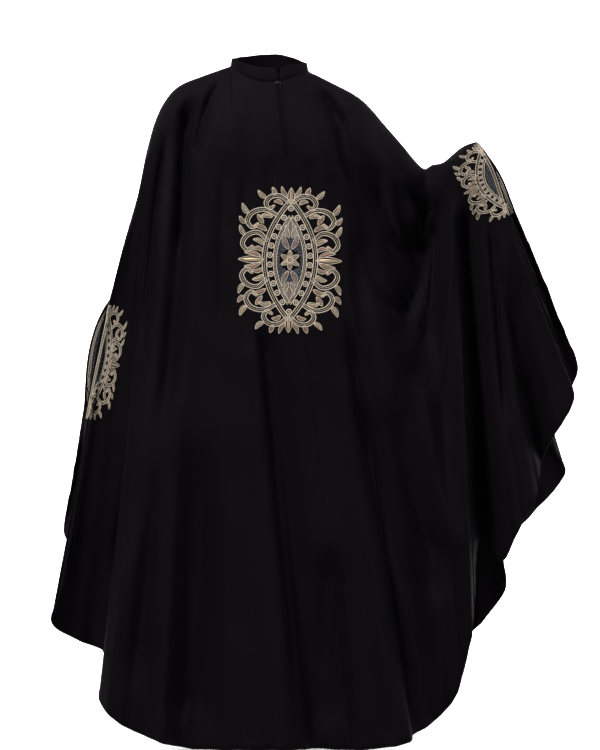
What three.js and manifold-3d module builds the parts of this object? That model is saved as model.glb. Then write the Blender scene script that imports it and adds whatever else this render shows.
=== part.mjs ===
// A butterfly abaya held out on a general figure: one arm low, the other raised to the side.
// Millimetres. +Z up, the front faces -Y, and the origin is the middle of the neck at shoulder height.
// Front and back are two wide cloth panels that share a line from wrist to wrist over the shoulders.
import * as THREE from "three";
import { mergeVertices } from "three/addons/utils/BufferGeometryUtils.js";
import Module from "manifold-3d";

const FRONT = -1;
const BACK = 1;

// Driving dimensions
const CLOTH_WALL = 2;
const SEAM_GAP = 0.7;
const COLLAR_WALL = 2.4;
const COLLAR_HEIGHT = { front: 30, back: 36, sideDip: 14 };
const COLLAR_LEAN = 3;
const COLLAR_INSET = 1.1;
const COLLAR_SINK = 1;
const COLLAR_NOTCH = { gap: 1.5, corner: 12 };
const COLLAR_STEPS = { corner: 4, round: 30, up: 1 };
const HOOK = { wire: 0.7, path: [[-5, -3, -4], [-2, -4.4, -4], [2, -4.4, -4], [6, -2.6, -4]] };
const HOOK_STEPS = { along: 12, round: 3 };
const NECK = { x: -2, halfWidth: 80, halfDepth: 64, front: -22, back: 12, lowSide: 15, raisedSide: 5 };
const NECK_SLIT = { x: 18, width: 1.6, length: 150 };
const CHEST_DEPTH = { front: 112, back: 100 };
const ARM_RADIUS = 48;
const CHEST_DROP = 190;
const ARM_DROP = 60;
const SHOULDER_REACH = { start: 150, end: 250 };
const ROLL_REACH = { start: 40, end: 170 };
const MOST_ROUND = 0.5;
const HEM_SWING = { skirt: 1.1, fold: 1.9, spread: 3 };
const CUFF_SWELL = { [FRONT]: { low: 0, raised: 10 }, [BACK]: { low: -22, raised: 16 } };
const CUFF_SWELL_LEAN = 0.7;
const CUFF_SWELL_REACH = 2;
const CREASE_TAPER = 0.2;
const EDGE_HOLD = 0.06;
const PARTING_STEP = 2;
const LINE_STEPS = { lowArm: 96, neck: 24, raisedArm: 120, crease: 24 };

// Embroidery stands on the cloth as thick stitched bands.
const STITCH = { lift: 0.9, height: 1.3, clearance: 0.3 };
const CHEST_MOTIF = { x: 40, z: -382, tilt: 0.02, across: 1, scale: 1 };
const LOW_FRONT_MOTIF = { x: -344, z: -583, tilt: 0.2, across: 0.5, scale: 0.8 };
const LOW_BACK_MOTIF = { x: -346, z: -583, tilt: 0.22, across: 0.5, scale: 0.8 };
const RAISED_FRONT_MOTIF = { x: 447, z: -221, tilt: 2.73, across: 1.15, scale: 0.53 };
const RAISED_BACK_MOTIF = { x: 450, z: -218, tilt: 2.6, across: 0.95, scale: 0.53 };
const OUTER_OVAL = { halfWidth: 51, halfHeight: 119, band: 7 };
const INNER_OVAL = { halfWidth: 33, halfHeight: 91, band: 5 };
const CHEST_STEPS = { oval: 20, scroll: 6, leaf: 4 };
const CUFF_STEPS = { oval: 8, scroll: 4, leaf: 4 };
const LEAF_POINTS = 3;
const WELD = 1e-4;

const COLOURS = {
  cloth: 0x141214,
  thread: 0xc8b08a,
  metal: 0x8d8478,
};

// A table is a row of column names, and rows of values under them.
function table(columns, ...rows) {
  return rows.map((row) =>
    Object.fromEntries(columns.map((column, i) => [column, row[i]])),
  );
}

// The line that both panels share, from the low wrist to the neck and on to the raised wrist
const LOW_ARM_LINE = table(
  ["place", "x", "y", "z"],
  ["low wrist", -325, -20, -460],
  ["low forearm", -294, -5, -336],
  ["low elbow", -269, 10, -244],
  ["low upper arm", -250, 12, -152],
  ["below low shoulder", -229, 10, -83],
  ["low shoulder", -206, 5, -44],
  ["low shoulder top", -184, 0, -24],
  ["low collar bone", -136, 0, -4],
  ["neck side", -82, 0, 15],
);
const RAISED_ARM_LINE = table(
  ["place", "x", "y", "z"],
  ["neck side", 78, 0, 5],
  ["raised collar bone", 122, 0, -17],
  ["raised shoulder", 172, 2, -43],
  ["below raised shoulder", 195, 5, -61],
  ["raised upper arm", 232, 12, -103],
  ["raised mid arm", 268, 22, -143],
  ["above raised elbow", 300, 36, -180],
  ["raised elbow pinch", 316, 45, -190],
  ["raised forearm", 328, 42, -182],
  ["raised mid forearm", 350, 20, -179],
  ["gathered forearm", 367, 0, -166],
  ["before raised wrist", 385, -25, -152],
  ["raised cuff start", 398, -42, -146],
  ["raised wrist", 412, -60, -143],
);

// Each row is one fall line of the cloth, a crest or a trough, from the shared line to the hem.
const FALL_COLUMNS = ["line", "top", "hemX", "hemZ", "hemY", "cells"];
const FRONT_LINES = table(
  FALL_COLUMNS,
  ["low cuff edge", -325, -375, -704, -34, 1],
  ["low wing", -321, -382, -822, -50, 1],
  ["low wing", -315, -394, -952, -66, 1],
  ["low wing", -307, -418, -1042, -84, 1],
  ["low corner crest", -297, -436, -1106, -70, 2],
  ["behind low corner", -276, -382, -1146, -30, 2],
  ["low trough", -251, -324, -1172, -40, 1],
  ["out of low trough", -226, -330, -1210, -90, 2],
  ["second corner crest", -206, -337, -1252, -150, 2],
  ["low side", -190, -295, -1294, -185, 2],
  ["shoulder valley", -174, -258, -1314, -165, 2],
  ["low side crest", -150, -217, -1328, -200, 2],
  ["soft valley", -126, -168, -1344, -160, 2],
  ["low skirt", -104, -105, -1344, -195, 2],
  ["low skirt", -84, -28, -1340, -235, 2],
  ["middle crest", -62, 56, -1335, -270, 2],
  ["middle trough", -44, 91, -1340, -205, 4],
  ["slit side", NECK_SLIT.x - NECK_SLIT.width / 2, 156, -1343, -212, 1],
  ["slit side", NECK_SLIT.x + NECK_SLIT.width / 2, 156 + NECK_SLIT.width, -1343, -212, 3],
  ["raised skirt", 56, 218, -1335, -242, 3],
  ["long crest", 88, 270, -1320, -278, 1],
  ["long trough", 108, 285, -1313, -190, 2],
  ["under the swags", 160, 315, -1298, -172, 3],
  ["under the swags", 210, 339, -1279, -160, 3],
  ["under the swags", 260, 357, -1257, -162, 3],
  ["under the elbow", 300, 370, -1234, -170, 2],
  ["elbow", 318, 380, -1194, -180, 2],
  ["forearm drape", 345, 389, -1153, -195, 2],
  ["drape corner crest", 372, 396, -1119, -205, 1],
  ["drape edge", 382, 405, -1057, -150, 2],
  ["deep valley", 390, 424, -940, -40, 2],
  ["turned fold", 394, 462, -980, -90, 1],
  ["wing crest", 398, 490, -924, -125, 2],
  ["wing", 401, 530, -850, -100, 1],
  ["wing trough", 403.5, 548, -776, -38, 1],
  ["wing", 406, 568, -732, -70, 1],
  ["wing tip crest", 408, 606, -656, -90, 1],
  ["wing side", 409.5, 584, -576, -80, 1],
  ["wing side", 411, 534, -420, -72, 1],
  ["raised cuff edge", 412, 478, -294, -84, 0],
);
const BACK_LINES = table(
  FALL_COLUMNS,
  ["low cuff edge", -325, -380, -706, 30, 1],
  ["low wing", -321, -410, -848, 60, 1],
  ["low wing corner", -315, -422, -937, 72, 1],
  ["behind low corner", -307, -392, -966, 50, 1],
  ["low trough", -295, -372, -1022, 40, 2],
  ["low crest", -278, -385, -1110, 120, 2],
  ["low side", -257, -350, -1180, 150, 1],
  ["low side trough", -231, -318, -1225, 110, 2],
  ["shoulder crest", -206, -290, -1290, 205, 2],
  ["shoulder trough", -180, -215, -1318, 160, 2],
  ["low blade crest", -150, -160, -1340, 245, 2],
  ["low blade trough", -112, -84, -1340, 180, 2],
  ["low middle crest", -84, -20, -1348, 262, 4],
  ["middle trough", -30, 52, -1342, 190, 4],
  ["middle crest", 30, 120, -1348, 265, 4],
  ["raised middle trough", 78, 185, -1338, 185, 2],
  ["raised blade crest", 110, 248, -1330, 250, 2],
  ["raised blade trough", 160, 290, -1300, 165, 2],
  ["raised arm crest", 220, 345, -1262, 215, 2],
  ["raised arm trough", 270, 368, -1210, 130, 2],
  ["elbow crest", 318, 405, -1160, 175, 2],
  ["forearm", 345, 444, -1112, 130, 1],
  ["forearm crest", 366, 484, -1046, 100, 1],
  ["deep trough", 380, 474, -958, 50, 2],
  ["wing", 388, 534, -898, 90, 1],
  ["wing crest", 395, 607, -811, 120, 2],
  ["wing trough", 400, 572, -738, 50, 1],
  ["wing tip", 404, 611, -642, 55, 1],
  ["wing tip", 407, 627, -598, 50, 1],
  ["wing side", 409.5, 588, -500, 15, 1],
  ["wing side", 411, 546, -398, -5, 1],
  ["raised cuff edge", 412, 496, -284, -22, 0],
);

// Soft troughs (depth above zero) and ridges (below zero) that cross or start along the fall lines
const CREASE_COLUMNS = ["crease", "low side", "raised side", "depth", "path"];
const FRONT_CREASES = table(
  CREASE_COLUMNS,
  ["shoulder valley", 18, 26, 30, [[-150, -10], [-168, -100], [-176, -300], [-196, -560], [-212, -760]]],
  ["arm hollow", 18, 30, 28, [[-194, -60], [-224, -280], [-252, -562], [-278, -844], [-334, -1090]]],
  ["raised neck fold", 24, 20, 26, [[84, -4], [124, -70], [152, -150], [168, -250], [184, -330]]],
  ["long fold", 14, 36, 26, [[158, -480], [186, -700], [250, -1090], [274, -1300]]],
  ["sweeping trough", 34, 42, 32, [[180, -620], [226, -810], [282, -970], [352, -1070]]],
  ["swag", 34, 36, 28, [[192, -130], [212, -280], [256, -390], [300, -340], [322, -240]]],
  ["elbow trough", 26, 34, 30, [[326, -290], [306, -390], [284, -480], [266, -560]]],
  ["deep valley", 22, 20, 54, [[392, -190], [404, -420], [420, -680], [430, -960]]],
  ["wing valley", 22, 26, 28, [[476, -380], [514, -620], [544, -790]]],
);
const BACK_CREASES = table(
  CREASE_COLUMNS,
  ["low shoulder valley", 22, 26, 26, [[-172, -40], [-190, -240], [-210, -520], [-236, -800]]],
  ["raised shoulder valley", 26, 22, 28, [[118, -20], [152, -160], [190, -380], [226, -640]]],
  ["back swag", 34, 36, 28, [[180, -120], [214, -290], [268, -400], [314, -330]]],
  ["wing valley", 24, 28, 30, [[400, -240], [440, -520], [470, -800]]],
);

const HEIGHT_CELLS = { front: 19, back: 15 };
const UPPER_CROWDING = 1.25;

const lerp = THREE.MathUtils.lerp;
const smoothstep = THREE.MathUtils.smoothstep;

// The neck opening is an ellipse in plan that dips to the front.
function neckPoint(angle) {
  const x = NECK.x + NECK.halfWidth * Math.sin(angle);
  const y = -NECK.halfDepth * Math.cos(angle);
  const sideHeight = lerp(NECK.lowSide, NECK.raisedSide, (Math.sin(angle) + 1) / 2);
  const middle = y < 0 ? NECK.front : NECK.back;
  const height = lerp(sideHeight, middle, Math.cos(angle) ** 2);
  return new THREE.Vector3(x, y, height);
}

function smoothLine(rows, steps) {
  const points = rows.map((row) => new THREE.Vector3(row.x, row.y, row.z));
  return new THREE.CatmullRomCurve3(points, false, "centripetal").getPoints(steps);
}

// The top edge of a panel: arm line, half of the neck opening, arm line.
function topEdge(side) {
  const arc = [];
  for (let i = 1; i < LINE_STEPS.neck; i += 1) {
    const swing = lerp(-Math.PI / 2, Math.PI / 2, i / LINE_STEPS.neck);
    arc.push(neckPoint(side === FRONT ? swing : Math.PI - swing));
  }
  const lowArm = smoothLine(LOW_ARM_LINE, LINE_STEPS.lowArm);
  const raisedArm = smoothLine(RAISED_ARM_LINE, LINE_STEPS.raisedArm);
  const points = [...lowArm, ...arc, ...raisedArm];
  const reach = [0];
  for (let i = 1; i < points.length; i += 1)
    reach.push(reach[i - 1] + points[i].distanceTo(points[i - 1]));
  return { points, reach };
}

// How far along the top edge the given x lies
function reachAtX(edge, x) {
  const last = edge.points.length - 1;
  if (x <= edge.points[0].x) return 0;
  for (let i = 0; i < last; i += 1) {
    const from = edge.points[i].x;
    const to = edge.points[i + 1].x;
    if (x >= from && x < to)
      return lerp(edge.reach[i], edge.reach[i + 1], (x - from) / (to - from));
  }
  return edge.reach[last];
}

function pointAtReach(edge, reach) {
  const last = edge.points.length - 1;
  let i = 0;
  while (i < last - 1 && edge.reach[i + 1] < reach) i += 1;
  const share = (reach - edge.reach[i]) / (edge.reach[i + 1] - edge.reach[i]);
  return edge.points[i].clone().lerp(edge.points[i + 1], THREE.MathUtils.clamp(share, 0, 1));
}

// The level direction square to the shared line, which parts the front from the back there
function partingDirection(edge, reach) {
  const run = pointAtReach(edge, reach + PARTING_STEP).sub(pointAtReach(edge, reach - PARTING_STEP));
  return new THREE.Vector3(-run.y, Math.abs(run.x), 0).normalize();
}

// The depth at which the cloth leaves the figure: the chest in the middle, the arm outside.
// It slopes off the neck, and rolls over the shoulders and arms.
function figureDepth(side, top) {
  const chest = side * (side === FRONT ? CHEST_DEPTH.front : CHEST_DEPTH.back);
  const arm = top.y + side * ARM_RADIUS;
  const outward = smoothstep(Math.abs(top.x), SHOULDER_REACH.start, SHOULDER_REACH.end);
  return {
    depth: lerp(chest, arm, outward),
    drop: lerp(CHEST_DROP, ARM_DROP, outward),
    roll: smoothstep(Math.abs(top.x), ROLL_REACH.start, ROLL_REACH.end),
  };
}

function creaseCurve(row) {
  const points = row.path.map(([x, z]) => new THREE.Vector3(x, 0, z));
  const line = new THREE.CatmullRomCurve3(points, false, "centripetal").getPoints(LINE_STEPS.crease);
  return { ...row, line };
}

// The push that one crease gives at a place in the front view
function creasePush(crease, x, z) {
  let best = Infinity;
  let along = 0;
  let offset = 0;
  const last = crease.line.length - 1;
  for (let i = 0; i < last; i += 1) {
    const from = crease.line[i];
    const to = crease.line[i + 1];
    const runX = to.x - from.x;
    const runZ = to.z - from.z;
    const lengthSquared = runX * runX + runZ * runZ;
    const share = THREE.MathUtils.clamp(
      ((x - from.x) * runX + (z - from.z) * runZ) / lengthSquared, 0, 1);
    const gapX = x - from.x - runX * share;
    const gapZ = z - from.z - runZ * share;
    const gap = Math.hypot(gapX, gapZ);
    if (gap < best) {
      best = gap;
      along = (i + share) / last;
      offset = Math.sign(runX * gapZ - runZ * gapX) * gap;
    }
  }
  const width = offset < 0 ? crease["low side"] : crease["raised side"];
  const ends = smoothstep(along, 0, CREASE_TAPER) * smoothstep(1 - along, 0, CREASE_TAPER);
  return crease.depth * ends * Math.exp(-((best / width) ** 2));
}

// How far the cuff edges swell outwards past the straight line from wrist to hem
function cuffSwell(side, u, last, v) {
  const swell = CUFF_SWELL[side];
  const low = Math.max(0, 1 - u / CUFF_SWELL_REACH) ** 2;
  const raised = Math.max(0, 1 - (last - u) / CUFF_SWELL_REACH) ** 2;
  return (swell.low * low + swell.raised * raised) * Math.sin(Math.PI * v ** CUFF_SWELL_LEAN);
}

// A panel's surface as a function of its fall line (u) and the share of the way down it (v)
function panelSurface(side, rows, creaseRows) {
  const edge = topEdge(side);
  const reaches = rows.map((row) => reachAtX(edge, row.top));
  const hem = new THREE.CatmullRomCurve3(
    rows.map((row) => new THREE.Vector3(row.hemX, row.hemY, row.hemZ)), false, "centripetal");
  // The skirt's own flare is the hem depth with its folds smoothed away.
  const flare = new THREE.CatmullRomCurve3(rows.map((row, i) => {
    const near = rows.slice(Math.max(0, i - HEM_SWING.spread), i + HEM_SWING.spread + 1);
    return new THREE.Vector3(i, near.reduce((sum, other) => sum + other.hemY, 0) / near.length, 0);
  }));
  const creases = creaseRows.map(creaseCurve);
  return (u, v) => {
    const i = Math.min(Math.floor(u), rows.length - 2);
    const reach = lerp(reaches[i], reaches[i + 1], u - i);
    const top = pointAtReach(edge, reach);
    top.addScaledVector(partingDirection(edge, reach), (side * SEAM_GAP) / 2);
    const low = hem.getPoint(u / (rows.length - 1));
    const figure = figureDepth(side, top);
    const roundShare = Math.min(MOST_ROUND, figure.drop / (top.z - low.z));
    const point = top.clone().lerp(low, v);
    point.x += cuffSwell(side, u, rows.length - 1, v);
    if (v < roundShare) {
      const down = v / roundShare;
      const slope = Math.sin((down * Math.PI) / 2);
      const round = Math.sqrt(1 - (1 - down) ** 2);
      point.y = lerp(top.y, figure.depth, lerp(slope, round, figure.roll));
    } else {
      const fall = (v - roundShare) / (1 - roundShare);
      const skirt = flare.getPoint(u / (rows.length - 1)).y;
      point.y = lerp(figure.depth, skirt, fall ** HEM_SWING.skirt);
      point.y += (low.y - skirt) * fall ** HEM_SWING.fold;
    }
    const hold = smoothstep(v, 0, EDGE_HOLD);
    for (const crease of creases)
      point.y -= side * hold * creasePush(crease, point.x, point.z);
    return point;
  };
}

// A grid of outer points, with the outward normal at each
function gridNormals(points, outward) {
  const columns = points.length;
  const rows = points[0].length;
  return points.map((column, i) =>
    column.map((_, j) => {
      const next = points[Math.min(i + 1, columns - 1)][j];
      const below = points[i][Math.min(j + 1, rows - 1)];
      const across = next.clone().sub(points[Math.max(i - 1, 0)][j]);
      const down = below.clone().sub(points[i][Math.max(j - 1, 0)]);
      return across.cross(down).multiplyScalar(outward).normalize();
    }),
  );
}

// A closed wall through a grid of outer points. keep(i, j) says whether a cell is cloth or open.
function wallGeometry({ points, normals, wall, keep = () => true, flip = false }) {
  const columns = points.length;
  const rows = points[0].length;
  const positions = [];
  const used = new Map();
  const vertex = (i, j, inner) => {
    const key = `${i},${j},${inner}`;
    if (!used.has(key)) {
      const point = points[i][j].clone();
      if (inner) point.addScaledVector(normals[i][j], -wall);
      used.set(key, positions.length / 3);
      positions.push(point.x, point.y, point.z);
    }
    return used.get(key);
  };
  const index = [];
  const quad = (a, b, c, d) => {
    const turned = flip ? [a, c, b, a, d, c] : [a, b, c, a, c, d];
    index.push(...turned);
  };
  const isCloth = (i, j) => i >= 0 && i < columns - 1 && j >= 0 && j < rows - 1 && keep(i, j);
  for (let i = 0; i < columns - 1; i += 1)
    for (let j = 0; j < rows - 1; j += 1) {
      if (!isCloth(i, j)) continue;
      const corners = [[i, j], [i, j + 1], [i + 1, j + 1], [i + 1, j]];
      const outer = corners.map(([a, b]) => vertex(a, b, false));
      const inner = corners.map(([a, b]) => vertex(a, b, true));
      quad(...outer);
      quad(inner[0], inner[3], inner[2], inner[1]);
      const neighbours = [[i - 1, j, 0, 1], [i, j + 1, 1, 2], [i + 1, j, 2, 3], [i, j - 1, 3, 0]];
      for (const [a, b, from, to] of neighbours)
        if (!isCloth(a, b)) quad(outer[to], outer[from], inner[from], inner[to]);
    }
  const geometry = new THREE.BufferGeometry();
  geometry.setAttribute("position", new THREE.Float32BufferAttribute(positions, 3));
  geometry.setIndex(index);
  return geometry;
}

function columnStops(rows) {
  const stops = [0];
  rows.forEach((row, i) => {
    for (let cell = 1; cell <= row.cells; cell += 1) stops.push(i + cell / row.cells);
  });
  return stops;
}

function panelGrid(side, rows, creases, heightCells) {
  const surface = panelSurface(side, rows, creases);
  const stops = columnStops(rows);
  const points = stops.map((u) => {
    const column = [];
    for (let j = 0; j <= heightCells; j += 1)
      column.push(surface(u, (j / heightCells) ** UPPER_CROWDING));
    return column;
  });
  const normals = gridNormals(points, side);
  // The wall's top edge stands in the upright plane of the shared line, so the panels stay apart.
  const upright = new THREE.Vector3(0, 0, 1);
  normals.forEach((column, i) => {
    const next = points[Math.min(i + 1, points.length - 1)][0];
    const run = next.clone().sub(points[Math.max(i - 1, 0)][0]).normalize();
    column[0].copy(upright).addScaledVector(run, -upright.dot(run)).normalize();
  });
  return { side, points, normals, stops };
}

function material(colour, roughness, metalness) {
  return new THREE.MeshStandardMaterial({ color: colour, roughness, metalness });
}

function namedMesh(name, geometry, finish) {
  const mesh = new THREE.Mesh(geometry, finish);
  mesh.name = name;
  return mesh;
}

const cloth = material(COLOURS.cloth, 0.85, 0);
const thread = material(COLOURS.thread, 0.5, 0.2);
const metal = material(COLOURS.metal, 0.35, 0.9);

const frontGrid = panelGrid(FRONT, FRONT_LINES, FRONT_CREASES, HEIGHT_CELLS.front);
const backGrid = panelGrid(BACK, BACK_LINES, BACK_CREASES, HEIGHT_CELLS.back);

function frontPanel() {
  const slitLine = FRONT_LINES.findIndex((row) => row.line === "slit side");
  const slitColumn = frontGrid.stops.indexOf(slitLine);
  const inSlit = (i, j) => {
    const top = frontGrid.points[i][0].z;
    return i === slitColumn && top - frontGrid.points[i][j + 1].z < NECK_SLIT.length;
  };
  const keep = (i, j) => !inSlit(i, j);
  return namedMesh("front_panel", wallGeometry({ ...frontGrid, wall: CLOTH_WALL, keep }), cloth);
}

function backPanel() {
  return namedMesh("back_panel", wallGeometry({ ...backGrid, wall: CLOTH_WALL, flip: true }), cloth);
}

// The stand collar: a band round the neck, open at the slit, with rounded upper corners there
function standCollar() {
  const notch = Math.asin((NECK_SLIT.x - NECK.x) / NECK.halfWidth);
  const radius = (NECK.halfWidth + NECK.halfDepth) / 2;
  const end = COLLAR_NOTCH.gap / radius;
  const corner = COLLAR_NOTCH.corner / radius;
  const turns = [];
  const round = 2 * (Math.PI - end - corner);
  for (let i = 0; i < COLLAR_STEPS.corner; i += 1)
    turns.push((corner * i) / COLLAR_STEPS.corner);
  for (let i = 0; i <= COLLAR_STEPS.round; i += 1)
    turns.push(corner + (round * i) / COLLAR_STEPS.round);
  for (let i = 1; i <= COLLAR_STEPS.corner; i += 1)
    turns.push(corner + round + (corner * i) / COLLAR_STEPS.corner);
  const points = [];
  const normals = [];
  for (const turn of turns) {
    const angle = notch + end + turn;
    const base = neckPoint(angle);
    const out = new THREE.Vector3(Math.sin(angle), -Math.cos(angle), 0);
    const fromEnd = Math.max(0, Math.min(turn, 2 * (Math.PI - end) - turn)) / corner;
    const even = lerp(COLLAR_HEIGHT.front, COLLAR_HEIGHT.back, (1 - Math.cos(angle)) / 2);
    const full = even - COLLAR_HEIGHT.sideDip * Math.sin(angle) ** 2;
    const dip = fromEnd < 1 ? 1 - Math.sqrt(1 - (1 - fromEnd) ** 2) : 0;
    const height = full - COLLAR_NOTCH.corner * dip;
    const column = [];
    for (let j = 0; j <= COLLAR_STEPS.up; j += 1) {
      const up = j / COLLAR_STEPS.up;
      const point = base.clone().addScaledVector(out, -COLLAR_INSET - COLLAR_LEAN * up);
      point.z += height * up - COLLAR_SINK;
      column.push(point);
    }
    points.push(column);
    normals.push(column.map(() => out.clone()));
  }
  const geometry = wallGeometry({ points, normals, wall: COLLAR_WALL, flip: true });
  return namedMesh("stand_collar", geometry, cloth);
}

// A small wire hook across the top of the slit
function collarHook() {
  const at = neckPoint(Math.asin((NECK_SLIT.x - NECK.x) / NECK.halfWidth));
  const path = new THREE.CatmullRomCurve3(
    HOOK.path.map(([x, y, z]) => new THREE.Vector3(x, y, z).add(at)), false, "centripetal");
  const section = new THREE.Shape().absarc(0, 0, HOOK.wire, 0, Math.PI * 2);
  const geometry = new THREE.ExtrudeGeometry(section, {
    extrudePath: path, steps: HOOK_STEPS.along, curveSegments: HOOK_STEPS.round, bevelEnabled: false,
  });
  return namedMesh("collar_hook", geometry, metal);
}

// The outermost cloth of a panel at a place in the front view, on its flat facets
function clothAt(grid, x, z) {
  const { side } = grid;
  let found = null;
  const take = (a, b, c) => {
    const area = (b.x - a.x) * (c.z - a.z) - (c.x - a.x) * (b.z - a.z);
    const onB = ((x - a.x) * (c.z - a.z) - (c.x - a.x) * (z - a.z)) / area;
    const onC = ((b.x - a.x) * (z - a.z) - (x - a.x) * (b.z - a.z)) / area;
    if (!(onB >= 0 && onC >= 0 && onB + onC <= 1)) return;
    const y = a.y + onB * (b.y - a.y) + onC * (c.y - a.y);
    if (found && side * found.point.y > side * y) return;
    const normal = b.clone().sub(a).cross(c.clone().sub(a)).normalize();
    if (normal.y * side < 0) normal.negate();
    found = { point: new THREE.Vector3(x, y, z), normal };
  };
  for (let i = 0; i < grid.points.length - 1; i += 1)
    for (let j = 0; j < grid.points[i].length - 1; j += 1) {
      const [a, b] = [grid.points[i][j], grid.points[i][j + 1]];
      const [c, d] = [grid.points[i + 1][j + 1], grid.points[i + 1][j]];
      if (x < Math.min(a.x, b.x, c.x, d.x) || x > Math.max(a.x, b.x, c.x, d.x)) continue;
      if (z < Math.min(a.z, b.z, c.z, d.z) || z > Math.max(a.z, b.z, c.z, d.z)) continue;
      take(a, b, c);
      take(a, c, d);
    }
  return found;
}

// Embroidery motifs in their own flat frame: a runs across, b runs up, from the motif's middle.
// Each stroke is a stitched band that tapers. Its mirror says where its copies lie.
const MOTIF_STROKES = table(
  ["stroke", "mirror", "widths", "path"],
  ["tip leaf", "b", [2, 11, 2], [[0, 112], [0, 127], [0, 143]]],
  ["crown scroll", "ab", [5, 7, 3], [[3, 114], [20, 127], [40, 126], [50, 113], [43, 102], [34, 107]]],
  ["shoulder scroll", "ab", [5, 7, 3], [[26, 88], [50, 100], [76, 94], [86, 77], [76, 64], [65, 71]]],
  ["side scroll", "ab", [5, 7, 3], [[45, 38], [64, 54], [86, 48], [95, 31], [85, 19], [75, 26]]],
  ["side leaf", "a", [2, 12, 2], [[49, 0], [76, 0], [102, 0]]],
  ["stem", "b", [5, 5, 5], [[0, 89], [0, 102], [0, 116]]],
);

// Maps a motif's flat frame to the front view of the garment.
function motifFrame({ x, z, tilt, across, scale }) {
  return ([a, b]) => [
    x + scale * (a * across * Math.cos(tilt) + b * Math.sin(tilt)),
    z + scale * (b * Math.cos(tilt) - a * across * Math.sin(tilt)),
  ];
}

// A stitched band along flat points, laid on the cloth's facets
function stitchedBand(grid, place, points, widths, closed) {
  const count = points.length;
  const section = points.map((point, i) => {
    const next = closed ? points[(i + 1) % count] : points[Math.min(i + 1, count - 1)];
    const before = closed ? points[(i + count - 1) % count] : points[Math.max(i - 1, 0)];
    const run = [next[0] - before[0], next[1] - before[1]];
    const length = Math.hypot(...run);
    const reach = widths[i] / 2 / length;
    return [-1, 1].map((edge) => {
      const flat = place([point[0] - edge * run[1] * reach, point[1] + edge * run[0] * reach]);
      return clothAt(grid, ...flat);
    });
  });
  if (section.flat().some((hit) => !hit)) return null;
  const raised = (hit, height) => hit.point.clone().addScaledVector(hit.normal, height);
  const low = STITCH.lift;
  const high = STITCH.lift + STITCH.height;
  const rings = section.map(([left, right]) => [
    raised(left, low), raised(right, low), raised(right, high), raised(left, high),
  ]);
  const positions = rings.flat().flatMap((point) => point.toArray());
  const index = [];
  const flip = grid.side === FRONT;
  const face = (...corners) => index.push(...(flip ? corners.reverse() : corners));
  const joints = closed ? count : count - 1;
  for (let i = 0; i < joints; i += 1)
    for (let k = 0; k < 4; k += 1) {
      const here = i * 4;
      const there = ((i + 1) % count) * 4;
      const next = (k + 1) % 4;
      face(here + k, there + k, there + next);
      face(here + k, there + next, here + next);
    }
  if (!closed) {
    const end = (count - 1) * 4;
    face(0, 1, 2);
    face(0, 2, 3);
    face(end, end + 2, end + 1);
    face(end, end + 3, end + 2);
  }
  const geometry = new THREE.BufferGeometry();
  geometry.setAttribute("position", new THREE.Float32BufferAttribute(positions, 3));
  geometry.setIndex(index);
  return geometry;
}

// A pointed oval: two arcs that meet at the top and the bottom. share runs from 0 to 1 all round.
function ovalPoint({ halfWidth, halfHeight }, share) {
  const height = Math.abs(4 * share - 2) - 1;
  const side = Math.sign(0.5 - share);
  return [side * halfWidth * (1 - height * height), halfHeight * height];
}

// A half oval is one of the two arcs.
function ovalBand(grid, place, oval, steps, half) {
  const points = [];
  const count = half ? steps + 1 : steps;
  const round = half ? 0.5 : 1;
  for (let i = 0; i < count; i += 1) points.push(ovalPoint(oval, (round * i) / steps));
  return stitchedBand(grid, place, points, points.map(() => oval.band), !half);
}

function strokeBands(grid, place, detail, half) {
  const bands = [];
  for (const stroke of MOTIF_STROKES) {
    const signsA = stroke.mirror.includes("a") && !half ? [1, -1] : [1];
    const signsB = stroke.mirror.includes("b") ? [1, -1] : [1];
    const path = new THREE.CatmullRomCurve3(
      stroke.path.map(([a, b]) => new THREE.Vector3(a, b, 0)), false, "centripetal");
    const steps = stroke.path.length > LEAF_POINTS ? detail.scroll : detail.leaf;
    const [start, middle, end] = stroke.widths;
    const widths = [];
    const points = [];
    for (let i = 0; i <= steps; i += 1) {
      const share = i / steps;
      const point = path.getPoint(share);
      points.push([point.x, point.y]);
      const toMiddle = Math.abs(2 * share - 1);
      widths.push(lerp(middle, share < 0.5 ? start : end, toMiddle));
    }
    for (const signA of signsA)
      for (const signB of signsB) {
        const copy = points.map(([a, b]) => [a * signA, b * signB]);
        const inOrder = signA * signB < 0 ? copy.reverse() : copy;
        const inWidths = signA * signB < 0 ? widths.slice().reverse() : widths;
        bands.push(stitchedBand(grid, place, inOrder, inWidths, false));
      }
  }
  return bands;
}

const wasm = await Module();
wasm.setup();

function solidOf(geometry) {
  const merged = mergeVertices(geometry, WELD);
  return new wasm.Manifold(new wasm.Mesh({
    numProp: 3,
    vertProperties: merged.attributes.position.array,
    triVerts: new Uint32Array(merged.index.array),
  }));
}

function geometryOf(solid) {
  const mesh = solid.getMesh();
  const geometry = new THREE.BufferGeometry();
  geometry.setAttribute("position", new THREE.BufferAttribute(mesh.vertProperties, 3));
  geometry.setIndex(new THREE.BufferAttribute(mesh.triVerts, 1));
  return geometry;
}

// The cloth swollen a little, which trims a band where it dips over a sharp fold
function swollenCloth(grid) {
  const points = grid.points.map((column, i) =>
    column.map((point, j) => point.clone().addScaledVector(grid.normals[i][j], STITCH.clearance)));
  const wall = CLOTH_WALL + 2 * STITCH.clearance;
  return solidOf(wallGeometry({ ...grid, points, wall, flip: grid.side === BACK }));
}

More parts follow.
